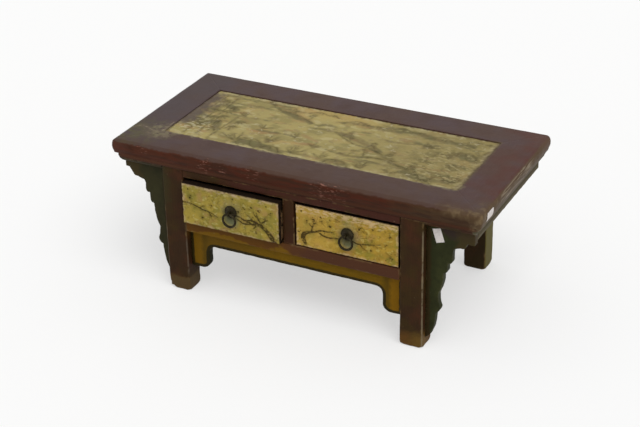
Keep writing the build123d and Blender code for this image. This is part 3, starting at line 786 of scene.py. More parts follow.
def apron_ochre():
    material, shader, place = new_finish("ochre_paint")
    brushed = cloudy(place, (48.0, 10.0, 5.0), 0.4, 0.62, 81.0)
    olive = cloudy(place, 50.0, 0.46, 0.6, 82.0)
    drops = outward_band(place, 196.0, 208.0, 6.0, 12.0, 83.0)
    glow = both(
        drops,
        outward_band(place, 214.0, 222.0, 5.0, 10.0, 84.0),
        band(place, "Z", 60.0, 68.0, 5.0, 10.0, 84.5),
    )
    shade = band(place, "Z", APRON_HIGH.z - 14, APRON_HIGH.z - 5, 7.0, 26.0, 85.0)
    brown = cloudy(place, 26.0, 0.52, 0.68, 86.0)
    left_dull = band(place, "X", -60, -130, 40.0, 30.0, 87.0)
    outline = near_line(place, "edge_mm", 8.4, 6.6, 1.6, 12.0, 88.0)
    cut_faces = band(place, "Y", APRON_LOW.y + 1.2, APRON_LOW.y + 2.4, 0.6, 9.0, 88.5)
    not_top = band(place, "Z", APRON_HIGH.z - 12, APRON_HIGH.z - 16, 1.0, 12.0, 89.0)
    chips = cloudy(place, 5.0, 0.69, 0.72, 90.0, 4.0)
    coats = [
        ("#624B04", 0.7, olive),
        ("#765608", 0.5, brushed),
        ("#563E0C", 0.5, brown),
        ("#66490C", 0.6, left_dull),
        ("#533D06", 0.85, drops),
        ("#7F5904", 0.7, glow),
        ("#4F3C0C", 0.35, left_dull),
        ("#3B2C0A", 0.8, shade),
        ("#1B1A0A", 0.9, both(outline, not_top)),
        ("#1D1E10", 0.9, cut_faces),
        ("#3B2A16", 0.6, chips),
    ]
    colour = lay_coats("#674C04", coats)
    finish_surface(shader, colour, [(brushed, 0.12), (chips, -0.2)], 0.55)
    return material


apron_paint = apron_ochre()
print("finishes so far:", len(bpy.data.materials))

# %% [markdown]
# ## Bare wood, bamboo, iron and paper
# Inside the table nothing was painted: planed softwood has gone brown and slightly grey, with
# its grain along each board. The edges of the drawer fronts are nearly black, for dirt and for
# the painted shade that lies on them in the drawer's opening. The pins are split bamboo. The
# pulls and nails are wrought iron under a thick brown-black patina with an olive bloom, so
# little metal shows, and its shine is low. Two blank paper labels are plain rag paper with a few
# grey smudges.

# %% Bare wood, bamboo, iron and paper
BARE_GRAIN_SIZES = {"X": (70, 3.5, 3.5), "Y": (3.5, 70, 3.5), "Z": (3.5, 3.5, 70)}
PATINA_METAL = 0.15


def bare_wood(along):
    material, shader, place = new_finish(f"aged_softwood_along_{along}")
    late_wood = cloudy(place, BARE_GRAIN_SIZES[along], 0.45, 0.58, 101.0, 2.0)
    stain = cloudy(place, 55.0, 0.45, 0.7, 102.0)
    dirt = near_line(place, "edge_mm", 5.0, 0.0, 4.0, 12.0, 103.0)
    coats = [("#553A24", 0.6, late_wood), ("#44362A", 0.5, stain), ("#35271A", 0.5, dirt)]
    colour = lay_coats("#745839", coats)
    finish_surface(shader, colour, [(late_wood, 0.12)], 0.75)
    return material


def split_bamboo():
    material, shader, place = new_finish("split_bamboo")
    fibres = cloudy(place, (0.6, 0.6, 12.0), 0.4, 0.6, 105.0)
    colour = lay_coats("#9A7C48", [("#6E5430", 0.6, fibres)])
    finish_surface(shader, colour, [(fibres, 0.05)], 0.6)
    return material


def wrought_iron():
    material, shader, place = new_finish("wrought_iron", 0.12)
    bloom = cloudy(place, 7.0, 0.46, 0.62, 106.0)
    rust = cloudy(place, 4.0, 0.56, 0.7, 107.0)
    hammered = cloudy(place, 3.0, 0.35, 0.65, 108.0, 1.0)
    rubbed = cloudy(place, 8.0, 0.5, 0.66, 109.0)
    coats = [("#28250F", 0.6, bloom), ("#36240E", 0.5, rust), ("#48402A", 0.4, rubbed)]
    colour = lay_coats("#221B0C", coats)
    shader.inputs["Metallic"].default_value = PATINA_METAL
    finish_surface(shader, colour, [(hammered, 0.25), (rust, 0.1)], 0.5, rust, 0.7)
    return material


def rag_paper():
    material, shader, place = new_finish("plain_rag_paper", 0.3)
    smudges = cloudy(place, 9.0, 0.48, 0.66, 110.0)
    fibres = cloudy(place, 1.2, 0.4, 0.6, 111.0)
    colour = lay_coats("#D6D0CC", [("#ABA3A0", 0.5, smudges), ("#C4BDB8", 0.4, fibres)])
    finish_surface(shader, colour, [(fibres, 0.02)], 0.7)
    return material


# nearly black wood for the edges and back of the drawer fronts: dirt, and a painted shade on the edges that
# lie in the opening
def grimy_and_shaded_wood():
    material, shader, place = new_finish("grimy_and_shaded_edge_boards")
    grain = cloudy(place, (60.0, 3.0, 3.0), 0.42, 0.6, 104.0, 2.0)
    scuffs = cloudy(place, 9.0, 0.62, 0.7, 104.5, 4.0)
    colour = lay_coats("#1F150E", [("#140D08", 0.6, grain), ("#3A2B1B", 0.4, scuffs)])
    finish_surface(shader, colour, [(grain, 0.1)], 0.7)
    return material


softwood_along = {axis: bare_wood(axis) for axis in "XYZ"}
dark_edges_with_painted_shade = grimy_and_shaded_wood()
bamboo = split_bamboo()
iron = wrought_iron()
label_paper = rag_paper()
print("finishes so far:", len(bpy.data.materials))

# %% [markdown]
# ## Painted grounds
# The panel and the drawer fronts carry brush drawing on a pale ground. The ground is distemper
# that has yellowed in clouds, and it was rubbed and chipped at its borders. The drawing itself
# is kept on the mesh: each point knows how far it lies from the nearest brush stroke, and the
# shader inks what lies inside, with a border that breaks up as a dry brush does. On the drawers
# fingers have left a green and a grey stain, and a dark halo round the pulls stands for dirt and for a
# painted shade round them.

# %% Clouds of the drawer fronts
def ground_coats(place, clouds, seed):
    """The coats of an aged ground, one for each row: colour, strength, size, start and end."""
    return [
        (coat, strength, cloudy(place, size, start, end, seed + index))
        for index, (coat, strength, size, start, end) in enumerate(clouds)
    ]


LEFT_DRAWER_CLOUDS = [
    ("#A48E3E", 0.7, 40.0, 0.44, 0.58),
    ("#6E6A2C", 0.65, 26.0, 0.5, 0.62),
    ("#95744A", 0.55, 24.0, 0.54, 0.66),
    ("#B3A668", 0.6, (13.0, 13.0, 8.0), 0.56, 0.64),
    ("#5E5320", 0.5, (9.0, 9.0, 6.0), 0.57, 0.66),
]
RIGHT_DRAWER_CLOUDS = [
    ("#AD8D35", 0.7, 44.0, 0.44, 0.58),
    ("#74702A", 0.65, 28.0, 0.5, 0.62),
    ("#A87F4C", 0.55, 24.0, 0.54, 0.66),
    ("#B7A355", 0.6, (13.0, 13.0, 8.0), 0.56, 0.64),
    ("#63521A", 0.5, (9.0, 9.0, 6.0), 0.57, 0.66),
]
print("clouds on each drawer front:", len(LEFT_DRAWER_CLOUDS))

# %% Distemper of the drawer fronts
FRONT_TOP = box_mm("drawer_right_front")[1].z
RUBBED_TOP = {"left": 6.0, "right": 15.0}
RIM_STRENGTH = {"left": 0.5, "right": 0.7}
PALER_LEFT_END = {"left": 0.0, "right": 0.45}


def drawer_distemper(side, ground, clouds, pale, seed):
    material, shader, place = new_finish(f"{side}_drawer_distemper")
    coats = ground_coats(place, clouds, seed)
    ring_low, ring_high = box_mm(f"drawer_{side}_ring")
    ring_middle = (ring_low + ring_high) / 2
    ring_middle.y = box_mm(f"drawer_{side}_front")[0].y
    green_stain = around_spot(place, ring_middle - Vector((0, 0, 2)), 21.0, 5.0, seed + 15)
    grey_smear = around_spot(place, ring_middle + Vector((2, 0, 16)), 34.0, 18.0, seed + 16)
    # a dark halo round the pull: dirt, and a painted shade round the rosette and ring
    grime_and_painted_shade = around_spot(place, ring_middle + Vector((-1, 0, 9)), 23.0, 3.0, seed + 17)
    smoke = near_line(place, "ink_mm", 6.0, 0.0, 5.0, 7.0, seed + 20)
    inked = near_line(place, "ink_mm", 0.7, -0.2, 0.9, 1.8, seed + 21)
    dry_brush = cloudy(place, (5.0, 5.0, 3.0), 0.33, 0.5, seed + 22)
    specks = cloudy(place, 3.0, 0.66, 0.7, seed + 23)
    crazed = both(crazing(place, 11.0, 0.07, seed), cloudy(place, 34.0, 0.5, 0.58, seed + 23.5))
    blots = both(cloudy(place, 7.0, 0.65, 0.69, seed + 24, 2.0), cloudy(place, 40.0, 0.46, 0.54, seed + 25))
    rim = both(
        near_line(place, "edge_mm", 7.0, 1.0, 8.0, 12.0, seed + 26),
        cloudy(place, 10.0, 0.44, 0.5, seed + 27, 4.0),
    )
    rubbed_from = FRONT_TOP - RUBBED_TOP[side]
    rubbed = both(
        band(place, "Z", rubbed_from - 3, rubbed_from + 6, 10.0, 20.0, seed + 28),
        cloudy(place, (12.0, 12.0, 4.0), 0.46, 0.52, seed + 29, 4.0),
    )
    dirt = near_line(place, "edge_mm", 2.4, 0.8, 2.4, 7.0, seed + 30)
    paler = band(place, "X", 116.0, 84.0, 50.0, 20.0, seed + 32)
    coats += [
        ("#B19244", PALER_LEFT_END[side], paler),
        ("#83785A", 0.45, grey_smear),
        ("#7C8161", 0.85, green_stain),
        ("#38341B", 0.8, grime_and_painted_shade),
        (pale, RIM_STRENGTH[side], rim),
        (pale, 0.75, rubbed),
        ("#50421C", 0.6, specks),
        ("#54451A", 0.6, crazed),
        ("#3A2E10", 0.85, blots),
        ("#4A3C18", 0.3, smoke),
        ("#2B200B", 0.88, both(inked, dry_brush)),
        ("#4A3822", 0.7, dirt),
    ]
    colour = lay_coats(ground, coats)
    crackle = cloudy(place, 7.0, 0.4, 0.6, seed + 31, 5.0)
    heights = [(crackle, 0.12), (inked, 0.05), (rim, -0.25), (rubbed, -0.25)]
    finish_surface(shader, colour, heights, 0.55, crackle, 0.62)
    return material


drawer_paint = {
    "left": drawer_distemper("left", "#8C7D36", LEFT_DRAWER_CLOUDS, "#B39B7C", 140.0),
    "right": drawer_distemper("right", "#94782F", RIGHT_DRAWER_CLOUDS, "#C0A57C", 180.0),
}
print("made", [paint.name for paint in drawer_paint.values()])

# %% [markdown]
# ## Ground of the top panel
# The same kind of ground lies on the panel, in larger clouds. Washes of dull green and brown
# stand behind the drawing, the left end is stained brown, the right end fades into the lacquer,
# and paint has flaked off near both ends and along the border.

# %% Distemper of the top panel
PANEL_SEED = 220.0
PANEL_TONGUE = 6.0
PANEL_HALF = [value - PANEL_TONGUE for value in box_mm("top_panel")[1].xy]
PANEL_CLOUDS = [
    ("#A3955F", 0.7, (110.0, 50.0, 50.0), 0.42, 0.58),
    ("#80764A", 0.6, (90.0, 40.0, 40.0), 0.49, 0.6),
    ("#A68A5A", 0.55, (70.0, 40.0, 40.0), 0.54, 0.66),
    ("#6E6843", 0.45, (40.0, 26.0, 26.0), 0.54, 0.63),
    ("#B1A679", 0.55, (26.0, 17.0, 17.0), 0.56, 0.64),
    ("#7B6A50", 0.4, (22.0, 15.0, 15.0), 0.57, 0.65),
    ("#8F6D4A", 0.55, (60.0, 22.0, 22.0), 0.57, 0.66),
]


def panel_distemper():
    material, shader, place = new_finish("panel_distemper")
    coats = ground_coats(place, PANEL_CLOUDS, PANEL_SEED)
    warm = both(
        around_spot(place, (-20, 116, 328), 130.0, 60.0, PANEL_SEED + 10),
        band(place, "Y", 60, 100, 20.0, 20.0, PANEL_SEED + 11),
    )
    washed = near_line(place, "wash_mm", 3.0, -5.0, 6.0, 12.0, PANEL_SEED + 12)
    green_or_brown = cloudy(place, 50.0, 0.46, 0.54, PANEL_SEED + 13)
    mottled = cloudy(place, (13.0, 9.0, 9.0), 0.4, 0.6, PANEL_SEED + 13.5, 4.0)
    inked = near_line(place, "ink_mm", 1.8, -1.2, 1.6, 3.0, PANEL_SEED + 14)
    smoke = near_line(place, "ink_mm", 6.0, 0.0, 5.0, 9.0, PANEL_SEED + 14.5)
    dry_brush = cloudy(place, (14.0, 10.0, 4.0), 0.36, 0.58, PANEL_SEED + 15)
    flaked = both(
        cloudy(place, (14.0, 11.0, 11.0), 0.6, 0.65, PANEL_SEED + 16, 4.0),
        cloudy(place, 70.0, 0.5, 0.6, PANEL_SEED + 17),
    )
    left_flakes = both(
        around_spot(place, (-296, -66, 328), 62.0, 34.0, PANEL_SEED + 18),
        cloudy(place, (12.0, 7.0, 7.0), 0.53, 0.57, PANEL_SEED + 19, 4.0),
    )
    right_dull = band(place, "X", 60, 200, 90.0, 60.0, PANEL_SEED + 20)
    left_stain = both(
        band(place, "X", -PANEL_HALF[0] + 44, -PANEL_HALF[0] + 14, 30.0, 20.0, PANEL_SEED + 21),
        band(place, "Y", -78, -46, 26.0, 18.0, PANEL_SEED + 21.5),
        band(place, "Y", 116, 94, 18.0, 14.0, PANEL_SEED + 21.7),
    )
    right_fade = band(place, "X", PANEL_HALF[0] - 11, PANEL_HALF[0] - 1, 9.0, 9.0, PANEL_SEED + 27)
    right_end = around_spot(place, (262, -30, 328), 130.0, 50.0, PANEL_SEED + 28)
    pale_dabs = both(right_end, cloudy(place, (10.0, 6.0, 6.0), 0.54, 0.6, PANEL_SEED + 29, 4.0))
    dark_dabs = both(right_end, cloudy(place, (12.0, 7.0, 7.0), 0.54, 0.62, PANEL_SEED + 30, 4.0))
    pale_rim = both(
        near_line(place, "edge_mm", 12.0, 4.0, 16.0, 14.0, PANEL_SEED + 22),
        cloudy(place, 24.0, 0.43, 0.51, PANEL_SEED + 23),
    )
    dirt = near_line(place, "edge_mm", 4.6, 0.6, 9.0, 12.0, PANEL_SEED + 24)
    coats += [
        ("#AE955A", 0.6, warm),
        ("#786A44", 0.5, right_dull),
        ("#5C6140", 0.6, both(washed, green_or_brown)),
        ("#735D46", 0.45, both(washed, mottled)),
        ("#5F5637", 0.4, washed),
        ("#5C5232", 0.35, smoke),
        ("#463D24", 0.62, both(inked, dry_brush)),
        ("#5A5634", 0.5, dark_dabs),
        ("#A89C70", 0.55, pale_dabs),
        ("#B3A988", 0.55, flaked),
        ("#B9B08F", 0.6, left_flakes),
        ("#ABA078", 0.65, pale_rim),
        ("#584C44", 0.92, left_stain),
        ("#695A42", 0.75, right_fade),
        ("#4E4030", 0.75, dirt),
    ]
    colour = lay_coats("#9B8E5B", coats)
    crackle = cloudy(place, 9.0, 0.4, 0.6, PANEL_SEED + 25, 5.0)
    heights = [(crackle, 0.1), (flaked, -0.15), (left_flakes, 0.15)]
    finish_surface(shader, colour, heights, 0.55, crackle, 0.62)
    return material


panel_paint = panel_distemper()
print("finishes:", len(bpy.data.materials))

# %% [markdown]
# ## Points of a mesh
# Wear is easiest to shape as numbers. The points of a mesh are read into one array, moved by a
# formula, and written back, and a number kept for each point can be read by its finish.

# %% Points and values of a mesh
def select_only(piece):
    for other in bpy.context.selected_objects:
        other.select_set(False)
    piece.select_set(True)
    bpy.context.view_layer.objects.active = piece


def points_of(piece):
    """The mesh's points in mm, one row each."""
    flat = np.zeros(len(piece.data.vertices) * 3)
    piece.data.vertices.foreach_get("co", flat)
    return flat.reshape(-1, 3) / MM


def normals_of(piece):
    return np.array([vertex.normal for vertex in piece.data.vertices])


def move_points(piece, points):
    piece.data.vertices.foreach_set("co", (points * MM).ravel())
    piece.data.update()


def keep_values(piece, name, values):
    """Store one number for each point of the mesh, for a finish to read."""
    layer = piece.data.attributes.new(name, "FLOAT", "POINT")
    layer.data.foreach_set("value", np.asarray(values, dtype=np.float32))


def modify(piece, name, kind, **settings):
    """Give the active piece a modifier with these settings and apply it."""
    modifier = piece.modifiers.new(name, kind)
    for setting, value in settings.items():
        setattr(modifier, setting, value)
    bpy.ops.object.modifier_apply(modifier=name)


def turn_outwards():
    """Turn every face of the piece in edit mode outwards, and leave edit mode."""
    bpy.ops.mesh.select_all(action="SELECT")
    bpy.ops.mesh.normals_make_consistent(inside=False)
    bpy.ops.object.mode_set(mode="OBJECT")


print("points of the floor in mm:", points_of(floor)[:, :2].round().tolist())

# %% [markdown]
# ## A worn copy of a joinery piece
# The joinery is exact, with arrises as sharp as a plane leaves them. A real old piece has soft
# ones, a little uneven. So each wooden piece is copied, its corners are merged, its sharp edges
# bevelled, and the copy is cut into a fine mesh by a row of planes along each axis. The mesh also
# notes how far each point lies from the nearest arris, which is where the finishes show wear.

# %% Worn copies
MERGED_WITHIN = 0.01
FLAT_WITHIN = math.radians(1)
SHARP_FROM = math.radians(40)
BEVELLED_FROM = math.radians(35)
SMOOTH_BELOW = math.radians(30)


def distance_to_lines(points, starts, ends):
    """The distance from each point to the nearest of some straight lines."""
    nearest = np.full(len(points), 1e3)
    for start, end in zip(starts, ends):
        run = end - start
        share = np.clip((points - start) @ run / (run @ run), 0, 1)
        apart = points - start - share[:, None] * run
        nearest = np.minimum(nearest, np.linalg.norm(apart, axis=1))
    return nearest


def sharp_outer_edges(piece):
    """The ends, in mm, of the edges where two faces meet in a sharp ridge."""
    shape = bmesh.new()
    shape.from_mesh(piece.data)
    ends = [
        [np.array(corner.co) / MM for corner in edge.verts]
        for edge in shape.edges
        if edge.is_manifold and edge.calc_face_angle_signed() > SHARP_FROM
    ]
    shape.free()
    return [pair[0] for pair in ends], [pair[1] for pair in ends]


def cut_into_steps(node, spacing):
    """Cut the piece in edit mode by planes about `spacing` mm apart along each axis."""
    low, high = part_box(node)
    for axis in range(3):
        cuts = int((high[axis] - low[axis]) / (spacing * MM))
        for cut in range(1, cuts):
            at, facing = low.copy(), Vector((0, 0, 0))
            at[axis] += (high[axis] - low[axis]) * cut / cuts
            facing[axis] = 1
            bpy.ops.mesh.select_all(action="SELECT")
            bpy.ops.mesh.bisect(plane_co=at, plane_no=facing)


def worn_copy(node, soften, spacing, rounded_arrises=()):
    """Copy a joinery piece, soften its arrises by `soften` mm and mesh it every `spacing` mm.

    An arris that the joiner rounded is given by its ends in mm, because no sharp edge marks it."""
    piece = bpy.data.objects.new("worn_" + node, nodes[node].data.copy())
    bpy.context.scene.collection.objects.link(piece)
    piece.data.materials.clear()
    select_only(piece)
    bpy.ops.object.mode_set(mode="EDIT")
    bpy.ops.mesh.select_all(action="SELECT")
    bpy.ops.mesh.remove_doubles(threshold=MERGED_WITHIN * MM)
    bpy.ops.mesh.dissolve_limited(angle_limit=FLAT_WITHIN)
    bpy.ops.object.mode_set(mode="OBJECT")
    starts, ends = sharp_outer_edges(piece)
    starts += [np.array(start, dtype=float) for start, _ in rounded_arrises]
    ends += [np.array(end, dtype=float) for _, end in rounded_arrises]
    modify(piece, "soft_arris", "BEVEL",
           width=soften * MM, segments=2, limit_method="ANGLE", angle_limit=BEVELLED_FROM)
    bpy.ops.object.mode_set(mode="EDIT")
    cut_into_steps(node, spacing)
    bpy.ops.object.mode_set(mode="OBJECT")
    keep_values(piece, "edge_mm", distance_to_lines(points_of(piece), starts, ends))
    bpy.ops.object.shade_smooth_by_angle(angle=SMOOTH_BELOW)
    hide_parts(node)
    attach(piece, nodes[node]["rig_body"])
    return piece


print("pieces to wear or finish:", len(nodes))

# %% [markdown]
# ## Wear of an arris
# No arris wears evenly, because hands and knocks come to some places more than to others. A
# smooth random number that changes along the piece says how much each place has lost, and the
# points near an arris go in by that share of the depth, along their normals.

# %% Worn arrises
def uneven(points, size, seed):
    """A smooth random number from -1 to 1 at each point, changing over about `size` mm."""
    shift = Vector((seed * 17.3, seed * 5.1, seed * 9.7))
    return np.array([noise.noise(Vector(point) / size + shift) for point in points])


def wear_arrises(piece, depth, size, reach, seed):
    """Press the arrises in by up to `depth` mm, in places about `size` mm long."""
    points = points_of(piece)
    edge = np.zeros(len(points), dtype=np.float32)
    piece.data.attributes["edge_mm"].data.foreach_get("value", edge)
    worn = np.clip(uneven(points, size, seed) + 0.25, 0, 1) * np.clip(1 - edge / reach, 0, 1)
    move_points(piece, points - normals_of(piece) * (depth * worn)[:, None])


print("wear at three points 5 mm apart:", uneven(np.eye(3) * 5, 8, 1).round(2))

# %% [markdown]
# ## Brush strokes
# A stroke is a smooth line through a few points, each with its own half width, as a loaded brush
# leaves it. Every point of a painted or scratched mesh gets its distance to the nearest stroke,
# less the stroke's half width there, so the number is below zero inside the ink.

# %% Strokes on a mesh
FAR_FROM_INK = 30.0


def smooth_stroke(points, steps=6):
    """A curve through the points (sideways, up, half width), with even steps between them."""
    points = [np.array(point, dtype=float) for point in points]
    padded = [2 * points[0] - points[1]] + points + [2 * points[-1] - points[-2]]
    line = []
    for before, start, end, after in zip(padded, padded[1:], padded[2:], padded[3:]):
        for step in range(steps):
            t = step / steps
            pull = 2 * start + (end - before) * t
            pull += (2 * before - 5 * start + 4 * end - after) * t ** 2
            pull += (3 * start - before - 3 * end + after) * t ** 3
            line.append(pull / 2)
    return line + [points[-1]]


def distance_to_ink(flat_points, strokes):
    """How far each point of a flat picture lies from the nearest stroke's border, in mm."""
    nearest = np.full(len(flat_points), FAR_FROM_INK)
    for stroke in strokes:
        line = np.array(smooth_stroke(stroke))
        low, high = line[:, :2].min(axis=0) - FAR_FROM_INK, line[:, :2].max(axis=0) + FAR_FROM_INK
        close = np.flatnonzero(((flat_points > low) & (flat_points < high)).all(axis=1))
        local = flat_points[close]
        for start, end in zip(line, line[1:]):
            run = end[:2] - start[:2]
            length = max(run @ run, 1e-6)
            share = np.clip((local - start[:2]) @ run / length, 0, 1)
            apart = np.linalg.norm(local - start[:2] - share[:, None] * run, axis=1)
            gap = apart - (start[2] + share * (end[2] - start[2]))
            nearest[close] = np.minimum(nearest[close], gap)
    return nearest


def dot(sideways, up, half_width):
    """A dab of the brush tip."""
    return [(sideways - 0.3, up, half_width), (sideways + 0.3, up, half_width)]


print("points of a smoothed dab:", len(smooth_stroke(dot(0, 0, 1))))

# %% [markdown]
# ## Shaping the rounded edge
# Four members meet in mitres at corners that have been knocked round. Each copy is rounded in
# plan by turning the square outline near a corner into part of a circle, more at the bead than
# at the rounded edge above it. The quirk is mostly filled, as thick lacquer fills it, and the
# rounded edge hangs down over a thinner bead, whose underside stays where the joiner left it.

# %% Rounded edge, bead and corners
NOSE_ROUND = {(-1, -1): 6.0, (1, -1): 9.0, (-1, 1): 8.0, (1, 1): 11.0}
BEAD_ROUND = 15.0
BEAD_INSET = 3.0
QUIRK_INSET = 6.0
FILLED = 0.65
FILLED_BELOW, FILLED_ABOVE = 14, 8
END_BEAD_INSET = 5.0
END_BEAD_FROM = 398.0
END_BEAD_EASE = 8
EDGE_ZONE, EDGE_EASE = 20, 8
BELOW_EDGE = MADE_QUIRK - 0.5
BEAD_UNDERSIDE = TOP_FACE - 40
MADE_HEIGHTS = [BEAD_UNDERSIDE, MADE_QUIRK - 2, MADE_QUIRK, TOP_FACE - 12, TOP_FACE]
WORN_HEIGHTS = [BEAD_UNDERSIDE, QUIRK - 1.5, QUIRK, TOP_FACE - 14, TOP_FACE]
TOP_OUTLINE = np.array([TOP_RIGHT, -TOP_FRONT])
BEAD_OUTLINE = TOP_OUTLINE - [END_BEAD_INSET + BEAD_INSET, BEAD_INSET]


def edge_inset(points):
    """How far points lie inside the outline of the top, along X and along Y."""
    return TOP_OUTLINE - np.abs(points[:, :2])


def fill_quirk(piece):
    """Fill most of the narrow quirk below the rounded edge, as coats of lacquer do."""
    points = points_of(piece)
    insets = edge_inset(points)
    inset = insets.min(axis=1)
    near = (points[:, 2] > MADE_QUIRK - FILLED_BELOW) & (points[:, 2] < MADE_QUIRK + FILLED_ABOVE)
    filling = [0, QUIRK_INSET - BEAD_INSET, 0]
    shift = near * FILLED * np.interp(inset, [BEAD_INSET, QUIRK_INSET, 3 * QUIRK_INSET], filling)
    outward = (insets - inset[:, None] < 0.05) * shift[:, None]
    points[:, :2] += np.sign(points[:, :2]) * outward
    move_points(piece, points)


def deepen_rounded_edge(piece):
    """Let the rounded edge hang lower over the bead, whose underside stays where it is."""
    points = points_of(piece)
    height = points[:, 2]
    outer = np.clip((EDGE_ZONE - edge_inset(points).min(axis=1)) / EDGE_EASE, 0, 1)
    lowered = np.interp(height, MADE_HEIGHTS, WORN_HEIGHTS) - height
    points[:, 2] += outer * lowered * (height > BEAD_UNDERSIDE)
    move_points(piece, points)


def push_in_ends(piece):
    """Draw in what lies below the rounded edge at the table's ends, where it is worn most."""
    points = points_of(piece)
    past = np.clip((np.abs(points[:, 0]) - END_BEAD_FROM) / END_BEAD_EASE, 0, 1)
    past *= points[:, 2] < BELOW_EDGE
    points[:, 0] -= np.sign(points[:, 0]) * past * END_BEAD_INSET
    move_points(piece, points)


def round_corner(piece, outline, radius, low, high, corner_side):
    """Turn the square outline near one corner of the table into part of a circle."""
    points = points_of(piece)
    past = points[:, :2] * corner_side - (outline - radius)
    inside = (past > 0).all(axis=1) & (points[:, 2] >= low) & (points[:, 2] < high)
    reach = past[inside]
    reach *= (reach.max(axis=1) / np.linalg.norm(reach, axis=1))[:, None]
    points[inside, :2] = corner_side * (outline - radius + reach)
    move_points(piece, points)


def round_all_corners(piece):
    """Round a piece's corners, the rounded edge a little and what is below it more."""
    fill_quirk(piece)
    push_in_ends(piece)
    for corner, radius in NOSE_ROUND.items():
        round_corner(piece, TOP_OUTLINE, radius, BELOW_EDGE, TOP_FACE + 1, np.array(corner))
        round_corner(piece, BEAD_OUTLINE, BEAD_ROUND, 0, BELOW_EDGE, np.array(corner))


print("corner radii, rounded edge:", list(NOSE_ROUND.values()), "bead:", BEAD_ROUND)

# %% [markdown]
# ## The mitred top
# The edge is made a little uneven, as a hand plane and a century of wiping leave it, and more so
# near the front corners, where it has been knocked. A few long scratches cross the front left
# mitre. They are drawn in plan, as lines with a half width at each point.

# %% Top members
WEAR_ZONE = 9
WAVE_LENGTH, DENT_LENGTH = 45, 9
KNOCKED_FROM, KNOCKED_EASE = 340, 60
MITRE_SCRATCHES = [
    [(-399, -122, 0.4), (-390, -113, 0.8), (-370, -119, 0.9), (-351, -127, 0.9), (-338, -119, 0.8),
     (-336, -98, 0.7), (-337, -72, 0.3)],
    [(-352, -150, 0.3), (-338, -153, 0.7), (-326, -149, 0.6), (-315, -139, 0.3)],
    [(-366, -138, 0.3), (-354, -141, 0.5), (-345, -138, 0.3)],
]


def wear_rounded_edge(piece, depth, seed):
    """Make the rounded edge uneven by up to `depth` mm, and more at its front corners."""
    points = points_of(piece)
    outer = np.clip(1 - edge_inset(points).min(axis=1) / WEAR_ZONE, 0, 1)
    outer *= np.clip((points[:, 2] - (TOP_FACE - 34)) / 8, 0, 1)
    dents = np.clip(uneven(points, DENT_LENGTH, seed + 1), 0, 1)
    wander = uneven(points, WAVE_LENGTH, seed) * 0.5 + dents * 0.5
    knocked = np.clip((np.abs(points[:, 0]) - KNOCKED_FROM) / KNOCKED_EASE, 0, 1)
    knocked *= points[:, 1] < TOP_FRONT + 40
    push = depth * outer * np.clip(wander * (1 + knocked) + 0.2, 0, 1.6)
    points[:, :2] -= np.sign(points[:, :2]) * push[:, None] * 0.8
    points[:, 2] -= push * 0.5 * (points[:, 2] > TOP_FACE - 8)
    move_points(piece, points)


top_members = {}
for seed, edge in enumerate(("front", "rear", "left", "right")):
    member = worn_copy(f"top_frame_{edge}", soften=0.7, spacing=4)
    round_all_corners(member)
    deepen_rounded_edge(member)
    wear_rounded_edge(member, 1.4, seed)
    plan = points_of(member)[:, :2]
    keep_values(member, "scratch_mm", distance_to_ink(plan, MITRE_SCRATCHES))
    keep_values(member, "panel_mm", (np.abs(plan) - np.array(PANEL_HALF)).max(axis=1))
    axis = "X" if edge in ("front", "rear") else "Y"
    member.data.materials.append(top_lacquer_along[axis])
    top_members[edge] = member
    print(member.name, len(member.data.polygons), "faces")

# %% [markdown]
# ## The stand
# Legs, rails, stile and boards are all worn copies, and each takes the lacquer whose grain runs
# along it. The feet have suffered most: damp and knocks have eaten the corners away, one corner
# of the front left leg more than the others, so the points there are lifted and drawn in.

# %% Legs
ARRIS_INSET = 0.9
CHEWED = (16.0, 8.0)
SCUFFED = (8.0, 2.6)


def eat_corner(piece, corner, reach, height, seed):
    """Lift the foot's points near one corner, given in plan, by up to `height` mm, and draw them in."""
    points = points_of(piece)
    apart = np.linalg.norm(points[:, :2] - np.array(corner), axis=1)
    eaten = np.clip(1 - apart / reach, 0, 1) * np.clip(1 - points[:, 2] / (2.2 * height), 0, 1)
    eaten *= 0.75 + 0.5 * uneven(points, 7, seed)
    centre = points[:, :2].mean(axis=0)
    points[:, 2] += eaten * height
    points[:, :2] += (centre - points[:, :2]) * (eaten * 0.16)[:, None]
    move_points(piece, points)


for seed, place_name in enumerate(("front_left", "front_right", "rear_left", "rear_right")):
    low, high = box_mm(f"leg_{place_name}")
    corners = ((low.x, low.y), (high.x, low.y), (low.x, high.y), (high.x, high.y))
    arrises = []
    for x, y in corners:
        inner_x = x + math.copysign(ARRIS_INSET, low.x + high.x - 2 * x)
        inner_y = y + math.copysign(ARRIS_INSET, low.y + high.y - 2 * y)
        arrises.append(((inner_x, inner_y, low.z), (inner_x, inner_y, high.z)))
    leg = worn_copy(f"leg_{place_name}", soften=0.8, spacing=4, rounded_arrises=arrises)
    wear_arrises(leg, depth=0.9, size=16, reach=6, seed=seed + 10)
    for index, corner in enumerate(corners):
        reach, height = CHEWED if (seed, index) == (0, 0) else SCUFFED
        eat_corner(leg, corner, reach, height, seed * 4 + index)
    leg.data.materials.append(lacquer_along["Z"])
    print(leg.name, len(leg.data.polygons), "faces")

# %% Rails, stile and boards
STAND_MEMBERS = {
    "front_top_rail": "X", "front_bottom_rail": "X", "rear_top_rail": "X", "rear_bottom_rail": "X",
    "centre_stile": "Z",
    "side_top_rail_left": "Y", "side_top_rail_right": "Y",
    "side_bottom_rail_left": "Y", "side_bottom_rail_right": "Y",
    "side_board_left": "Y", "side_board_right": "Y",
}
for seed, (node, axis) in enumerate(STAND_MEMBERS.items()):
    member = worn_copy(node, soften=0.9, spacing=5)
    wear_arrises(member, depth=0.8, size=14, reach=4, seed=seed + 20)
    member.data.materials.append(lacquer_along[axis])
print("stand members besides the legs:", len(STAND_MEMBERS))

# %% [markdown]
# ## Skirt below the top
# End boards close the overhang at both ends, and short coved strips run below the edge of the
# top. The brackets are sawn from thin board and carved along their edge, and the apron has a drop
# at each end. Thin carved edges wear round, so they are softened more than the rest.

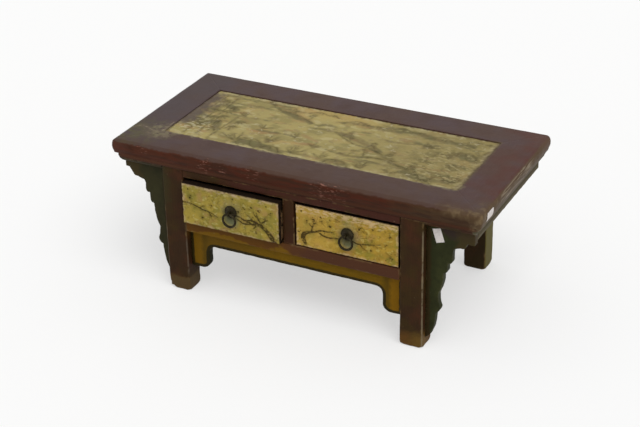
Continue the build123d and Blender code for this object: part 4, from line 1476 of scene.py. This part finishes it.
# %% End boards, strips, brackets and apron
SKIRT_NODES = [
    node for node in sorted(nodes)
    if node.startswith(("end_board", "cornice")) and node != "cornice_pins"
]
for node in SKIRT_NODES:
    board = worn_copy(node, soften=0.8, spacing=5)
    wear_arrises(board, depth=0.6, size=12, reach=4, seed=40)
    if node.startswith("cornice"):
        round_all_corners(board)
    board.data.materials.append(skirt_brown)

brackets = {}
for side in SIDES:
    bracket = worn_copy(f"wing_bracket_{side}", soften=1.6, spacing=4)
    wear_arrises(bracket, depth=1.0, size=11, reach=5, seed=41 + SIDES[side])
    bracket.data.materials.append(bracket_paint)
    brackets[side] = bracket

apron = worn_copy("front_apron", soften=1.6, spacing=4)
wear_arrises(apron, depth=0.8, size=14, reach=4, seed=43)
apron.data.materials.append(apron_paint)
print("boards and strips:", len(SKIRT_NODES), "brackets:", len(brackets))

# %% [markdown]
# ## Unpainted pieces
# Nobody sees the drawer boxes, the runners, the battens and the back board from the front, but a
# drawer pulled open or the table laid on its side shows them. They get the same soft arrises and
# the aged wood whose grain runs along each board.

# %% Drawer boxes, runners, battens and back board
BARE_NODES = [
    node for node in sorted(nodes)
    if node.startswith(("drawer_runner", "top_batten", "back_board"))
    or node.endswith(("_side_left", "_side_right", "_back", "_bottom"))
]
for seed, node in enumerate(BARE_NODES):
    low, high = box_mm(node)
    extent = high - low
    longest = "XYZ"[max(range(3), key=lambda axis: extent[axis])]
    board = worn_copy(node, soften=0.5, spacing=14)
    wear_arrises(board, depth=0.35, size=20, reach=3, seed=seed + 60)
    board.data.materials.append(softwood_along[longest])
print("unpainted pieces:", len(BARE_NODES))

# %% [markdown]
# ## A board with a painted face
# A drawer front and the panel are both boards with one flat painted face. Such a board starts as
# a fine grid on that face, so that it can hold the drawing. Its border is extruded back in three
# steps that round the arris, and then along a short profile, which gives the panel the tongue
# that sits in the groove of the frame. The back is closed with one face. The board is made lying
# flat, where a drawing is easy to lay out, and is stood up when it is done.

# %% Painted board
ROUNDING_TURNS = [math.radians(turn) for turn in (30, 60, 90)]


def painted_board(name, size, spacing, rounding, profile):
    """A board whose +Z face is a fine grid and whose border follows (outwards, down) in mm."""
    columns, rows = (int(length / spacing) for length in size)
    select_only(floor)
    bpy.ops.mesh.primitive_grid_add(x_subdivisions=columns, y_subdivisions=rows, size=1)
    board = bpy.context.object
    board.name = name
    width, height = (length - 2 * rounding for length in size)
    move_points(board, points_of(board) * MM * np.array([width, height, 1]))
    bpy.ops.object.mode_set(mode="EDIT")
    bpy.ops.mesh.select_all(action="SELECT")
    bpy.ops.mesh.region_to_loop()
    steps = [(rounding * math.sin(turn), rounding * (1 - math.cos(turn))) for turn in ROUNDING_TURNS]
    steps += [(rounding + outwards, down) for outwards, down in profile]
    out, depth = 0.0, 0.0
    for new_out, new_depth in steps:
        bpy.ops.mesh.extrude_edges_move(TRANSFORM_OT_translate={"value": (0, 0, (depth - new_depth) * MM)})
        wider = ((width + 2 * new_out) / (width + 2 * out), (height + 2 * new_out) / (height + 2 * out), 1)
        bpy.ops.transform.resize(value=wider, center_override=(0, 0, 0))
        out, depth = new_out, new_depth
    bpy.ops.mesh.edge_face_add()
    turn_outwards()
    return board


def finish_faces(board, paint, bare, is_painted):
    """Paint the faces of a board for which is_painted holds, and leave the others bare."""
    board.data.materials.append(paint)
    board.data.materials.append(bare)
    for face in board.data.polygons:
        face.material_index = 0 if is_painted(face) else 1


def stand_up(points, at):
    """Turn a piece made facing up so that it faces the front, with its middle at a place."""
    return np.stack([points[:, 0] + at[0], at[1] - points[:, 2], points[:, 1] + at[2]], axis=1)


print("a point above the board stands in front of it:", stand_up(np.array([[0, 0, 1]]), (0, 0, 0)))

# %% [markdown]
# ## Drawer fronts
# The plum branch is a traditional motif of such furniture: a gnarled stem that comes in from a
# lower corner, thin shoots and scattered buds, drawn quickly in dark brown. Only the face is
# painted, and the board's edges and back are bare wood made nearly black, for dirt and for the
# painted shade that lies on them in the drawer's opening.

# %% Branches and buds
LEFT_BRANCH = [
    [(102, -45, 5.0), (95, -35, 5.4), (87, -25, 4.4), (77, -17, 3.6), (64, -12, 3.4), (52, -13, 3.0),
     (40, -12, 1.8)],
    [(68, -12, 2.0), (58, -7, 1.8), (48, -6, 1.8), (35, -9, 1.5), (23, -4, 1.1), (12, -2, 0.7)],
    [(46, -14, 1.8), (32, -17, 1.4), (21, -12, 1.0), (12, -8, 0.6)],
    [(78, -17, 2.2), (70, -6, 1.8), (65, 3, 1.4), (62, 14, 0.8)],
    [(66, 2, 1.2), (58, 8, 0.8), (55, 15, 0.5)],
    [(70, -9, 1.3), (78, -3, 1.1), (87, 3, 0.6)],
    [(80, -3, 0.8), (84, 8, 0.5)],
    [(50, -9, 1.1), (46, 1, 0.9), (39, 6, 0.5)],
    [(60, -17, 1.0), (54, -24, 0.6)],
    [(-113, 3, 0.8), (-98, 4, 1.0), (-84, 1, 1.1), (-66, -5, 1.1), (-48, -8, 1.0), (-30, -16, 0.7)],
    [(-72, -3, 0.8), (-64, 3, 0.7), (-58, 4, 0.4)],
    [(-52, -7, 0.9), (-46, -13, 0.8), (-38, -16, 0.6)],
]
RIGHT_BRANCH = [
    [(-92, -38, 3.0), (-97, -28, 4.8), (-95, -18, 4.6), (-86, -12, 3.0), (-77, -9, 2.2), (-66, -6, 1.6)],
    [(-78, -9, 1.8), (-76, 0, 1.5), (-73, 9, 1.1), (-71, 18, 0.7)],
    [(-74, 8, 1.1), (-67, 14, 0.6)],
    [(-76, 2, 1.0), (-83, 9, 0.6)],
    [(-70, -7, 1.7), (-57, -2, 1.9), (-45, -1, 1.6), (-31, 0, 0.8)],
    [(-62, -6, 1.5), (-52, -12, 1.6), (-38, -14, 1.5), (-24, -12, 1.2), (-12, -10, 0.8)],
    [(12, -9, 1.4), (24, -13, 1.3), (40, -11, 0.9), (56, -8, 0.8), (74, -4, 0.5)],
    [(30, -13, 0.9), (37, -21, 0.7), (46, -24, 0.4)],
    [(60, -7, 0.6), (68, -12, 0.4)],
]
LEFT_BUDS = [
    (-44, 8, 4), (-45, -16, 3), (32, 20, 3), (50, 24, 4), (66, 20, 3), (94, 18, 3), (50, -2, 3),
    (-94, 16, 2), (20, 8, 2), (82, 6, 3), (8, 34, 1), (60, -32, 1), (-66, -24, 1),
]
RIGHT_BUDS = [
    (-72, 20, 3), (-36, 12, 2), (28, 20, 3), (88, -1, 4), (96, 18, 2), (54, -21, 1), (-54, 20, 2),
    (58, 26, 1), (-88, 14, 2), (-22, 30, 1), (96, -28, 1),
]
bud_random = random.Random(7)


def buds(clusters, spread=5.0):
    """Clusters of dabs, given by middle and count. The first dab of each is the fullest."""
    dabs = []
    for x, z, count in clusters:
        for dab in range(count):
            reach = spread * (dab > 0)
            place_x, place_z = (middle + bud_random.uniform(-reach, reach) for middle in (x, z))
            dabs.append(dot(place_x, place_z, bud_random.uniform(0.6, 1.2) + 0.8 * (dab == 0)))
    return dabs


DRAWER_STROKES = {"left": LEFT_BRANCH + buds(LEFT_BUDS), "right": RIGHT_BRANCH + buds(RIGHT_BUDS)}
print("strokes:", {side: len(strokes) for side, strokes in DRAWER_STROKES.items()})

# %% Drawer fronts
FRONT_GRID = 1.1
FRONT_ROUND = 1.6
FRONT_SKIN = -2
PAINTED_FACING = -0.5
CHIP_REACH, CHIP_DEPTH = 4, 0.7

for side, strokes in DRAWER_STROKES.items():
    node = f"drawer_{side}_front"
    low, high = box_mm(node)
    size = (high.x - low.x, high.z - low.z)
    front = painted_board(f"painted_{node}", size, FRONT_GRID, FRONT_ROUND, [(0, high.y - low.y)])
    drawn = points_of(front)
    keep_values(front, "ink_mm", distance_to_ink(drawn[:, :2], strokes))
    to_border = (np.array(size) / 2 - np.abs(drawn[:, :2])).min(axis=1)
    keep_values(front, "edge_mm", to_border)
    ripple = uneven(drawn, 30, SIDES[side]) * 0.25
    chipped = np.clip(uneven(drawn, 8, SIDES[side] + 5) + 0.1, 0, 1)
    chipped *= np.clip(1 - to_border / CHIP_REACH, 0, 1)
    drawn[:, :2] *= 1 - (0.012 * chipped)[:, None]
    drawn[:, 2] += np.where(drawn[:, 2] > FRONT_SKIN, ripple - CHIP_DEPTH * chipped - 0.25, 0)
    middle = (low + high) / 2
    move_points(front, stand_up(drawn, (middle.x, low.y, middle.z)))
    select_only(front)
    bpy.ops.object.shade_smooth_by_angle(angle=math.radians(50))
    # the edges and back take the dark wood that also paints their shade
    finish_faces(front, drawer_paint[side], dark_edges_with_painted_shade, lambda face: face.normal.y < PAINTED_FACING)
    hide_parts(node)
    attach(front, f"{side}_drawer")
    print(front.name, len(front.data.polygons), "faces")

# %% [markdown]
# ## Panel picture
# The panel carries a faint garden of bamboo, plum boughs, rocks and orchid grass, the stock of
# every furniture painter. Each motif is a small function that returns strokes, so that it can be
# set down again at another place and size, a little different each time.

# %% Leaves, grass and bamboo
draw = random.Random(31)


def leaf(x, y, turn, length, half_width):
    """A brushed leaf that swells, tapers and bends a little."""
    bend = draw.uniform(-14, 14)
    points = [(x, y, half_width * 0.4)]
    for share, width in ((0.4, 1.0), (0.35, 0.75), (0.25, 0.1)):
        x += length * share * math.cos(math.radians(turn))
        y += length * share * math.sin(math.radians(turn))
        turn += bend
        points.append((x, y, half_width * width))
    return points


def orchid_grass(x, y, count, length):
    """Long thin leaves that fan out from one root."""
    turns = [draw.uniform(25, 155) for _ in range(count)]
    return [leaf(x, y, turn, length * draw.uniform(0.6, 1.1), 1.5) for turn in turns]


def bamboo_stalk(x, foot, top, lean):
    """A jointed stalk with bunches of hanging leaves."""
    strokes, height = [], foot
    while height < top:
        here = x + lean * (height - foot) / (top - foot)
        strokes.append([(here, height, 1.5), (here + 0.6, height + 11, 1.0), (here + 1.2, height + 22, 1.4)])
        if height > foot + 30:
            side_turn = draw.choice((-1, 1))
            root = (here + side_turn * draw.uniform(8, 16), height + draw.uniform(2, 10))
            for fan in (-12, 18, 48, 78):
                strokes.append(leaf(*root, 270 + side_turn * fan, draw.uniform(16, 26), 2.3))
        height += 24
    return strokes


print("motifs so far: leaf, orchid grass and bamboo")

# %% Blossom, boughs, rocks, hills and drifts
def blossom(x, y, size):
    """Five dabs round a smaller one."""
    turns = [math.radians(72 * petal + 20) for petal in range(5)]
    petals = [dot(x + size * math.cos(turn), y + size * math.sin(turn), size * 0.42) for turn in turns]
    return petals + [dot(x, y, size * 0.25)]


def plum_bough(points, twigs):
    """A bough through some points, with twigs and blossoms on alternate sides."""
    strokes = [points]
    line = smooth_stroke(points)
    for twig in range(twigs):
        x, y, half_width = line[int((twig + 0.5) / twigs * (len(line) - 1))]
        turn = 60 + 60 * (twig % 2) + draw.uniform(-20, 20)
        length = draw.uniform(18, 34)
        shoot = leaf(x, y, turn, length, max(0.6, half_width * 0.5))
        strokes.append(shoot)
        strokes += blossom(shoot[-1][0], shoot[-1][1], draw.uniform(3.0, 4.4))
        strokes += blossom(shoot[-2][0] + draw.uniform(-6, 6), shoot[-2][1] + draw.uniform(-5, 5), 2.8)
    return strokes


def rock(x, y, width, height):
    """A rounded outline, open below, with one short fold."""
    outline = [
        (x - width / 2, y, 0.8), (x - width * 0.4, y + height * 0.7, 1.9), (x - width * 0.1, y + height, 1.5),
        (x + width * 0.25, y + height * 0.75, 2.0), (x + width / 2, y, 0.9),
    ]
    fold = [
        (x - width * 0.1, y + height * 0.85, 1.0), (x - width * 0.02, y + height * 0.4, 0.7),
        (x + width * 0.1, y + height * 0.1, 0.3),
    ]
    return [outline, fold]


def distant_hill(x, y, width, height):
    """One soft line that rises and falls, with short dabs of trees along it."""
    ridge = [
        (x - width / 2, y, 0.6), (x - width * 0.2, y + height, 1.1), (x + width * 0.1, y + height * 0.4, 0.8),
        (x + width * 0.3, y + height * 0.7, 1.0), (x + width / 2, y, 0.5),
    ]
    trees = [leaf(x + width * draw.uniform(-0.4, 0.4), y + height * 0.3, 90, 7, 1.4) for _ in range(5)]
    return [ridge] + trees


def drift(x, y, length, half_width):
    """A long soft wash that wanders a little, as mist or grass seen from afar."""
    points = []
    for share, width in ((-0.5, 0.3), (-0.2, 1.0), (0.15, 0.7), (0.5, 0.2)):
        points.append((x + share * length, y + draw.uniform(-5, 5), half_width * width))
    return points


print("dabs of a blossom:", len(blossom(0, 0, 3)))

# %% [markdown]
# ## Layout of the garden
# The garden's places are listed one by one. Bamboo stands at the left, the longest bough comes in from the
# lower right, and rocks, grasses and hills fill the ground between them. All lie in plan, in mm
# from the middle of the panel. Broad soft washes stand behind them, in a list of their own.

# %% Strokes and washes of the panel
panel_strokes = []
STALKS = [(-296, -104, 40, 12), (-268, -96, 88, -8), (-236, -108, 10, 10), (-310, -20, 96, 8)]
for x, foot, top, lean in STALKS:
    panel_strokes += bamboo_stalk(x, foot, top, lean)
BOUGHS = [
    ([(266, -114, 4.4), (218, -78, 3.8), (164, -58, 3.2), (112, -22, 2.8), (56, -8, 2.0), (0, 26, 1.2)], 9),
    ([(150, -50, 2.4), (118, -52, 1.8), (84, -62, 1.2), (52, -60, 0.8)], 3),
    ([(-200, 112, 3.0), (-160, 80, 2.6), (-118, 72, 2.0), (-66, 48, 1.2)], 5),
]
for points, twigs in BOUGHS:
    panel_strokes += plum_bough(points, twigs)
ROCKS = [(-140, -108, 64, 36), (-88, -112, 46, 24), (292, 12, 58, 34), (62, -112, 52, 22), (246, 4, 34, 18)]
for x, y, width, height in ROCKS:
    panel_strokes += rock(x, y, width, height)
GRASSES = [
    (-178, -96, 9, 42), (-112, -78, 8, 34), (-40, -106, 9, 38), (22, -98, 7, 30), (118, -108, 9, 34),
    (304, -96, 9, 40), (318, 40, 7, 32), (262, 18, 8, 34), (196, 30, 7, 30), (-214, 20, 6, 28),
    (-12, -60, 6, 24), (176, -104, 6, 26), (-66, -34, 6, 24), (222, -30, 8, 26), (286, -40, 8, 28),
    (-150, -20, 6, 22),
]
for x, y, count, length in GRASSES:
    panel_strokes += orchid_grass(x, y, count, length)
HILLS = [(40, 78, 96, 16), (142, 86, 84, 14), (236, 74, 110, 20), (-60, 92, 70, 12), (300, 92, 60, 12)]
for x, y, width, height in HILLS:
    panel_strokes += distant_hill(x, y, width, height)

PANEL_WASHES = [
    [(-172, -104, 8), (-140, -92, 14), (-92, -102, 10), (-60, -108, 5)],
    [(-300, -70, 6), (-262, -30, 11), (-240, -60, 8)],
    [(-250, 40, 7), (-284, 64, 9)],
    [(262, 20, 10), (292, 28, 14), (318, 14, 8)],
    [(34, -106, 6), (62, -100, 10), (92, -108, 6)],
    [(-20, 74, 4), (40, 84, 8), (96, 78, 5), (150, 90, 7), (214, 80, 9), (290, 78, 6)],
    [(120, -20, 7), (70, 6, 10), (10, 28, 6)],
    [(-150, 74, 8), (-110, 62, 9), (-70, 44, 5)],
    [(200, -84, 9), (250, -96, 12), (306, -86, 8)],
]
DRIFTS = 34
for _ in range(DRIFTS):
    x = draw.uniform(-320, 320)
    y = draw.uniform(-104, 104)
    PANEL_WASHES.append(drift(x, y, draw.uniform(40, 110), draw.uniform(2.5, 7.0)))
print("panel strokes:", len(panel_strokes), "washes:", len(PANEL_WASHES))

# %% [markdown]
# ## The panel
# The panel is a painted board whose tongue fills the groove of the frame, so it is made to the
# size of its open face and gets the tongue from its profile. It waves by a fraction of a
# millimetre, as an old floating board does.

# %% Top panel
PANEL_GRID = 1.7
PANEL_ROUND = 0.8
PANEL_FACE = box_mm("top_panel")[1].z
PANEL_PROFILE = [(0, 4), (PANEL_TONGUE, 4), (PANEL_TONGUE, 9), (0, 9), (0, 12)]
PANEL_SKIN = -1
PAINTED_DEPTH = 2

panel_size = [2 * half for half in PANEL_HALF]
panel = painted_board("painted_top_panel", panel_size, PANEL_GRID, PANEL_ROUND, PANEL_PROFILE)
shaped = points_of(panel)
keep_values(panel, "ink_mm", distance_to_ink(shaped[:, :2], panel_strokes))
keep_values(panel, "wash_mm", distance_to_ink(shaped[:, :2], PANEL_WASHES))
keep_values(panel, "edge_mm", (np.array(PANEL_HALF) - np.abs(shaped[:, :2])).min(axis=1))
wave = uneven(shaped, 60, 3) * 0.3 - 0.2
shaped[:, 2] += PANEL_FACE + np.where(shaped[:, 2] > PANEL_SKIN, wave, 0)
move_points(panel, shaped)
select_only(panel)
bpy.ops.object.shade_smooth_by_angle(angle=math.radians(40))
painted_from = (PANEL_FACE - PAINTED_DEPTH) * MM
finish_faces(
    panel, panel_paint, softwood_along["X"],
    lambda face: face.normal.z > 0.5 and face.center.z > painted_from,
)
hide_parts("top_panel")
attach(panel, nodes["top_panel"]["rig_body"])
print(panel.name, len(panel.data.polygons), "faces")

# %% [markdown]
# ## Ring pulls
# Each pull is a domed rosette, a split pin whose eye stands out through it, and a ring of thick
# wire. A smith made them by hand, so the dome and the ring carry shallow hammer marks and the
# ring is thicker at the bottom, where the wire was left stout for the fingers. The rosette starts
# as a disc that is extruded and then inset and lifted ring by ring to its dome.

# %% Forged shapes
ROSETTE_STEPS = [
    (0.5, 0.4), (0.8, 0.15), (0.8, -0.25), (0.7, 0.0), (1.1, 0.75), (1.5, 0.7), (1.8, 0.5), (2.0, 0.3),
    (1.8, 0.1),
]
RIM_HEIGHT = 0.8


def hammered(piece, depth, size, seed):
    """Give a forged piece shallow hammer marks."""
    points = points_of(piece)
    move_points(piece, points + normals_of(piece) * (uneven(points, size, seed) * depth)[:, None])


def forged_rosette(radius):
    """A domed disc with a rolled rim, facing up."""
    select_only(floor)
    bpy.ops.mesh.primitive_circle_add(vertices=48, radius=radius * MM, fill_type="NGON")
    rosette = bpy.context.object
    bpy.ops.object.mode_set(mode="EDIT")
    bpy.ops.mesh.select_all(action="SELECT")
    bpy.ops.mesh.extrude_region_move(TRANSFORM_OT_translate={"value": (0, 0, RIM_HEIGHT * MM)})
    for inwards, lift in ROSETTE_STEPS:
        bpy.ops.mesh.inset(thickness=inwards * MM)
        bpy.ops.transform.translate(value=(0, 0, lift * MM))
    turn_outwards()
    modify(rosette, "smooth", "SUBSURF", levels=1, render_levels=1)
    return rosette


def forged_ring(radius, wire_radius, seed):
    """A closed ring of uneven wire, lying flat, thicker towards -Y."""
    select_only(floor)
    bpy.ops.mesh.primitive_torus_add(
        major_segments=72, minor_segments=16, major_radius=radius * MM, minor_radius=wire_radius * MM
    )
    ring = bpy.context.object
    points = points_of(ring)
    turn = np.arctan2(points[:, 1], points[:, 0])
    facing = np.stack([np.cos(turn), np.sin(turn), 0 * turn], axis=1)
    thickness = 1.1 - 0.13 * np.sin(turn) + 0.05 * uneven(facing * 3, 1, seed)
    middle = radius * facing
    move_points(ring, middle + (points - middle) * thickness[:, None])
    return ring


print("a rosette steps in by", round(sum(inwards for inwards, _ in ROSETTE_STEPS), 1), "mm")

# %% Rosettes and rings
for side in SIDES:
    low, high = box_mm(f"drawer_{side}_rosette")
    rosette = forged_rosette((high.x - low.x) / 2)
    rosette.name = f"forged_drawer_{side}_rosette"
    hammered(rosette, depth=0.22, size=4, seed=SIDES[side] + 70)
    middle = (low + high) / 2
    move_points(rosette, stand_up(points_of(rosette), (middle.x, high.y, middle.z)))
    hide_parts(f"drawer_{side}_rosette")
    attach(rosette, f"{side}_drawer")

    low, high = box_mm(f"drawer_{side}_ring")
    wire = (high.y - low.y) / 2
    ring = forged_ring((high.x - low.x) / 2 - wire, wire, SIDES[side] + 80)
    ring.name = f"forged_drawer_{side}_ring"
    hammered(ring, depth=0.12, size=3, seed=SIDES[side] + 90)
    move_points(ring, stand_up(points_of(ring), (low + high) / 2))
    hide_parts(f"drawer_{side}_ring")
    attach(ring, f"{side}_ring")

    for forging in (rosette, ring):
        select_only(forging)
        bpy.ops.object.shade_smooth()
        forging.data.materials.append(iron)
        print(forging.name, len(forging.data.polygons), "faces")

# %% [markdown]
# ## Two blank labels
# Two small labels of plain paper are stuck on the table, one on the right bracket and one on the
# rounded edge of the right end. Each starts as a grid between four corners, is projected onto
# the piece that it is stuck to, and gets a little thickness and one lifting corner.

# %% Paper labels
HELD_OFF = 6
BEFORE_WING = box_mm("wing_bracket_right")[0].y - HELD_OFF
BESIDE_TOP = TOP_RIGHT + HELD_OFF
LABELS = {
    "blank_label_on_bracket": (
        [(307, BEFORE_WING, 271), (316, BEFORE_WING, 242), (333, BEFORE_WING, 247), (324, BEFORE_WING, 275)],
        brackets["right"], (0, 1, 0),
    ),
    "blank_label_on_edge": (
        [(BESIDE_TOP, -170, 304), (BESIDE_TOP, -139, 303), (BESIDE_TOP, -139, 322), (BESIDE_TOP, -169, 322)],
        top_members["right"], (-1, 0, 0),
    ),
}
LABEL_GRID = 12
LABEL_THICKNESS = 0.25
LABEL_GAP = 0.15
LABEL_LIFT = 1.6

for name, (corners, carrier, direction) in LABELS.items():
    select_only(floor)
    bpy.ops.mesh.primitive_grid_add(x_subdivisions=LABEL_GRID, y_subdivisions=LABEL_GRID, size=1)
    label = bpy.context.object
    label.name = name
    shares = points_of(label) * MM + 0.5
    along, up = shares[:, :1], shares[:, 1:2]
    first, second, third, fourth = (np.array(corner) for corner in corners)
    spread = (first * (1 - along) + second * along) * (1 - up) + (fourth * (1 - along) + third * along) * up
    move_points(label, spread)
    on_x, on_y, on_z = (part != 0 for part in direction)
    modify(label, "press", "SHRINKWRAP", target=carrier, wrap_method="PROJECT",
           use_project_x=on_x, use_project_y=on_y, use_project_z=on_z,
           use_positive_direction=sum(direction) > 0, use_negative_direction=sum(direction) < 0)
    lift = LABEL_GAP + LABEL_LIFT * np.clip(along[:, 0] + up[:, 0] - 1.5, 0, 1) ** 2
    move_points(label, points_of(label) - np.array(direction) * lift[:, None])
    bpy.ops.object.mode_set(mode="EDIT")
    turn_outwards()
    modify(label, "paper", "SOLIDIFY", thickness=LABEL_THICKNESS * MM, offset=1)
    label.data.materials.append(label_paper)
    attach(label, "table")
    print(label.name, len(label.data.polygons), "faces")

# %% [markdown]
# ## Pieces that stay as they are
# The split pins, the nails and the bamboo pins are small and already the right shape, so they
# only get their finish.

# %% Pins and nails
for name, piece in nodes.items():
    piece.data.materials.clear()
    piece.data.materials.append(bamboo if name == "cornice_pins" else iron)
print("finishes in all:", len(bpy.data.materials))
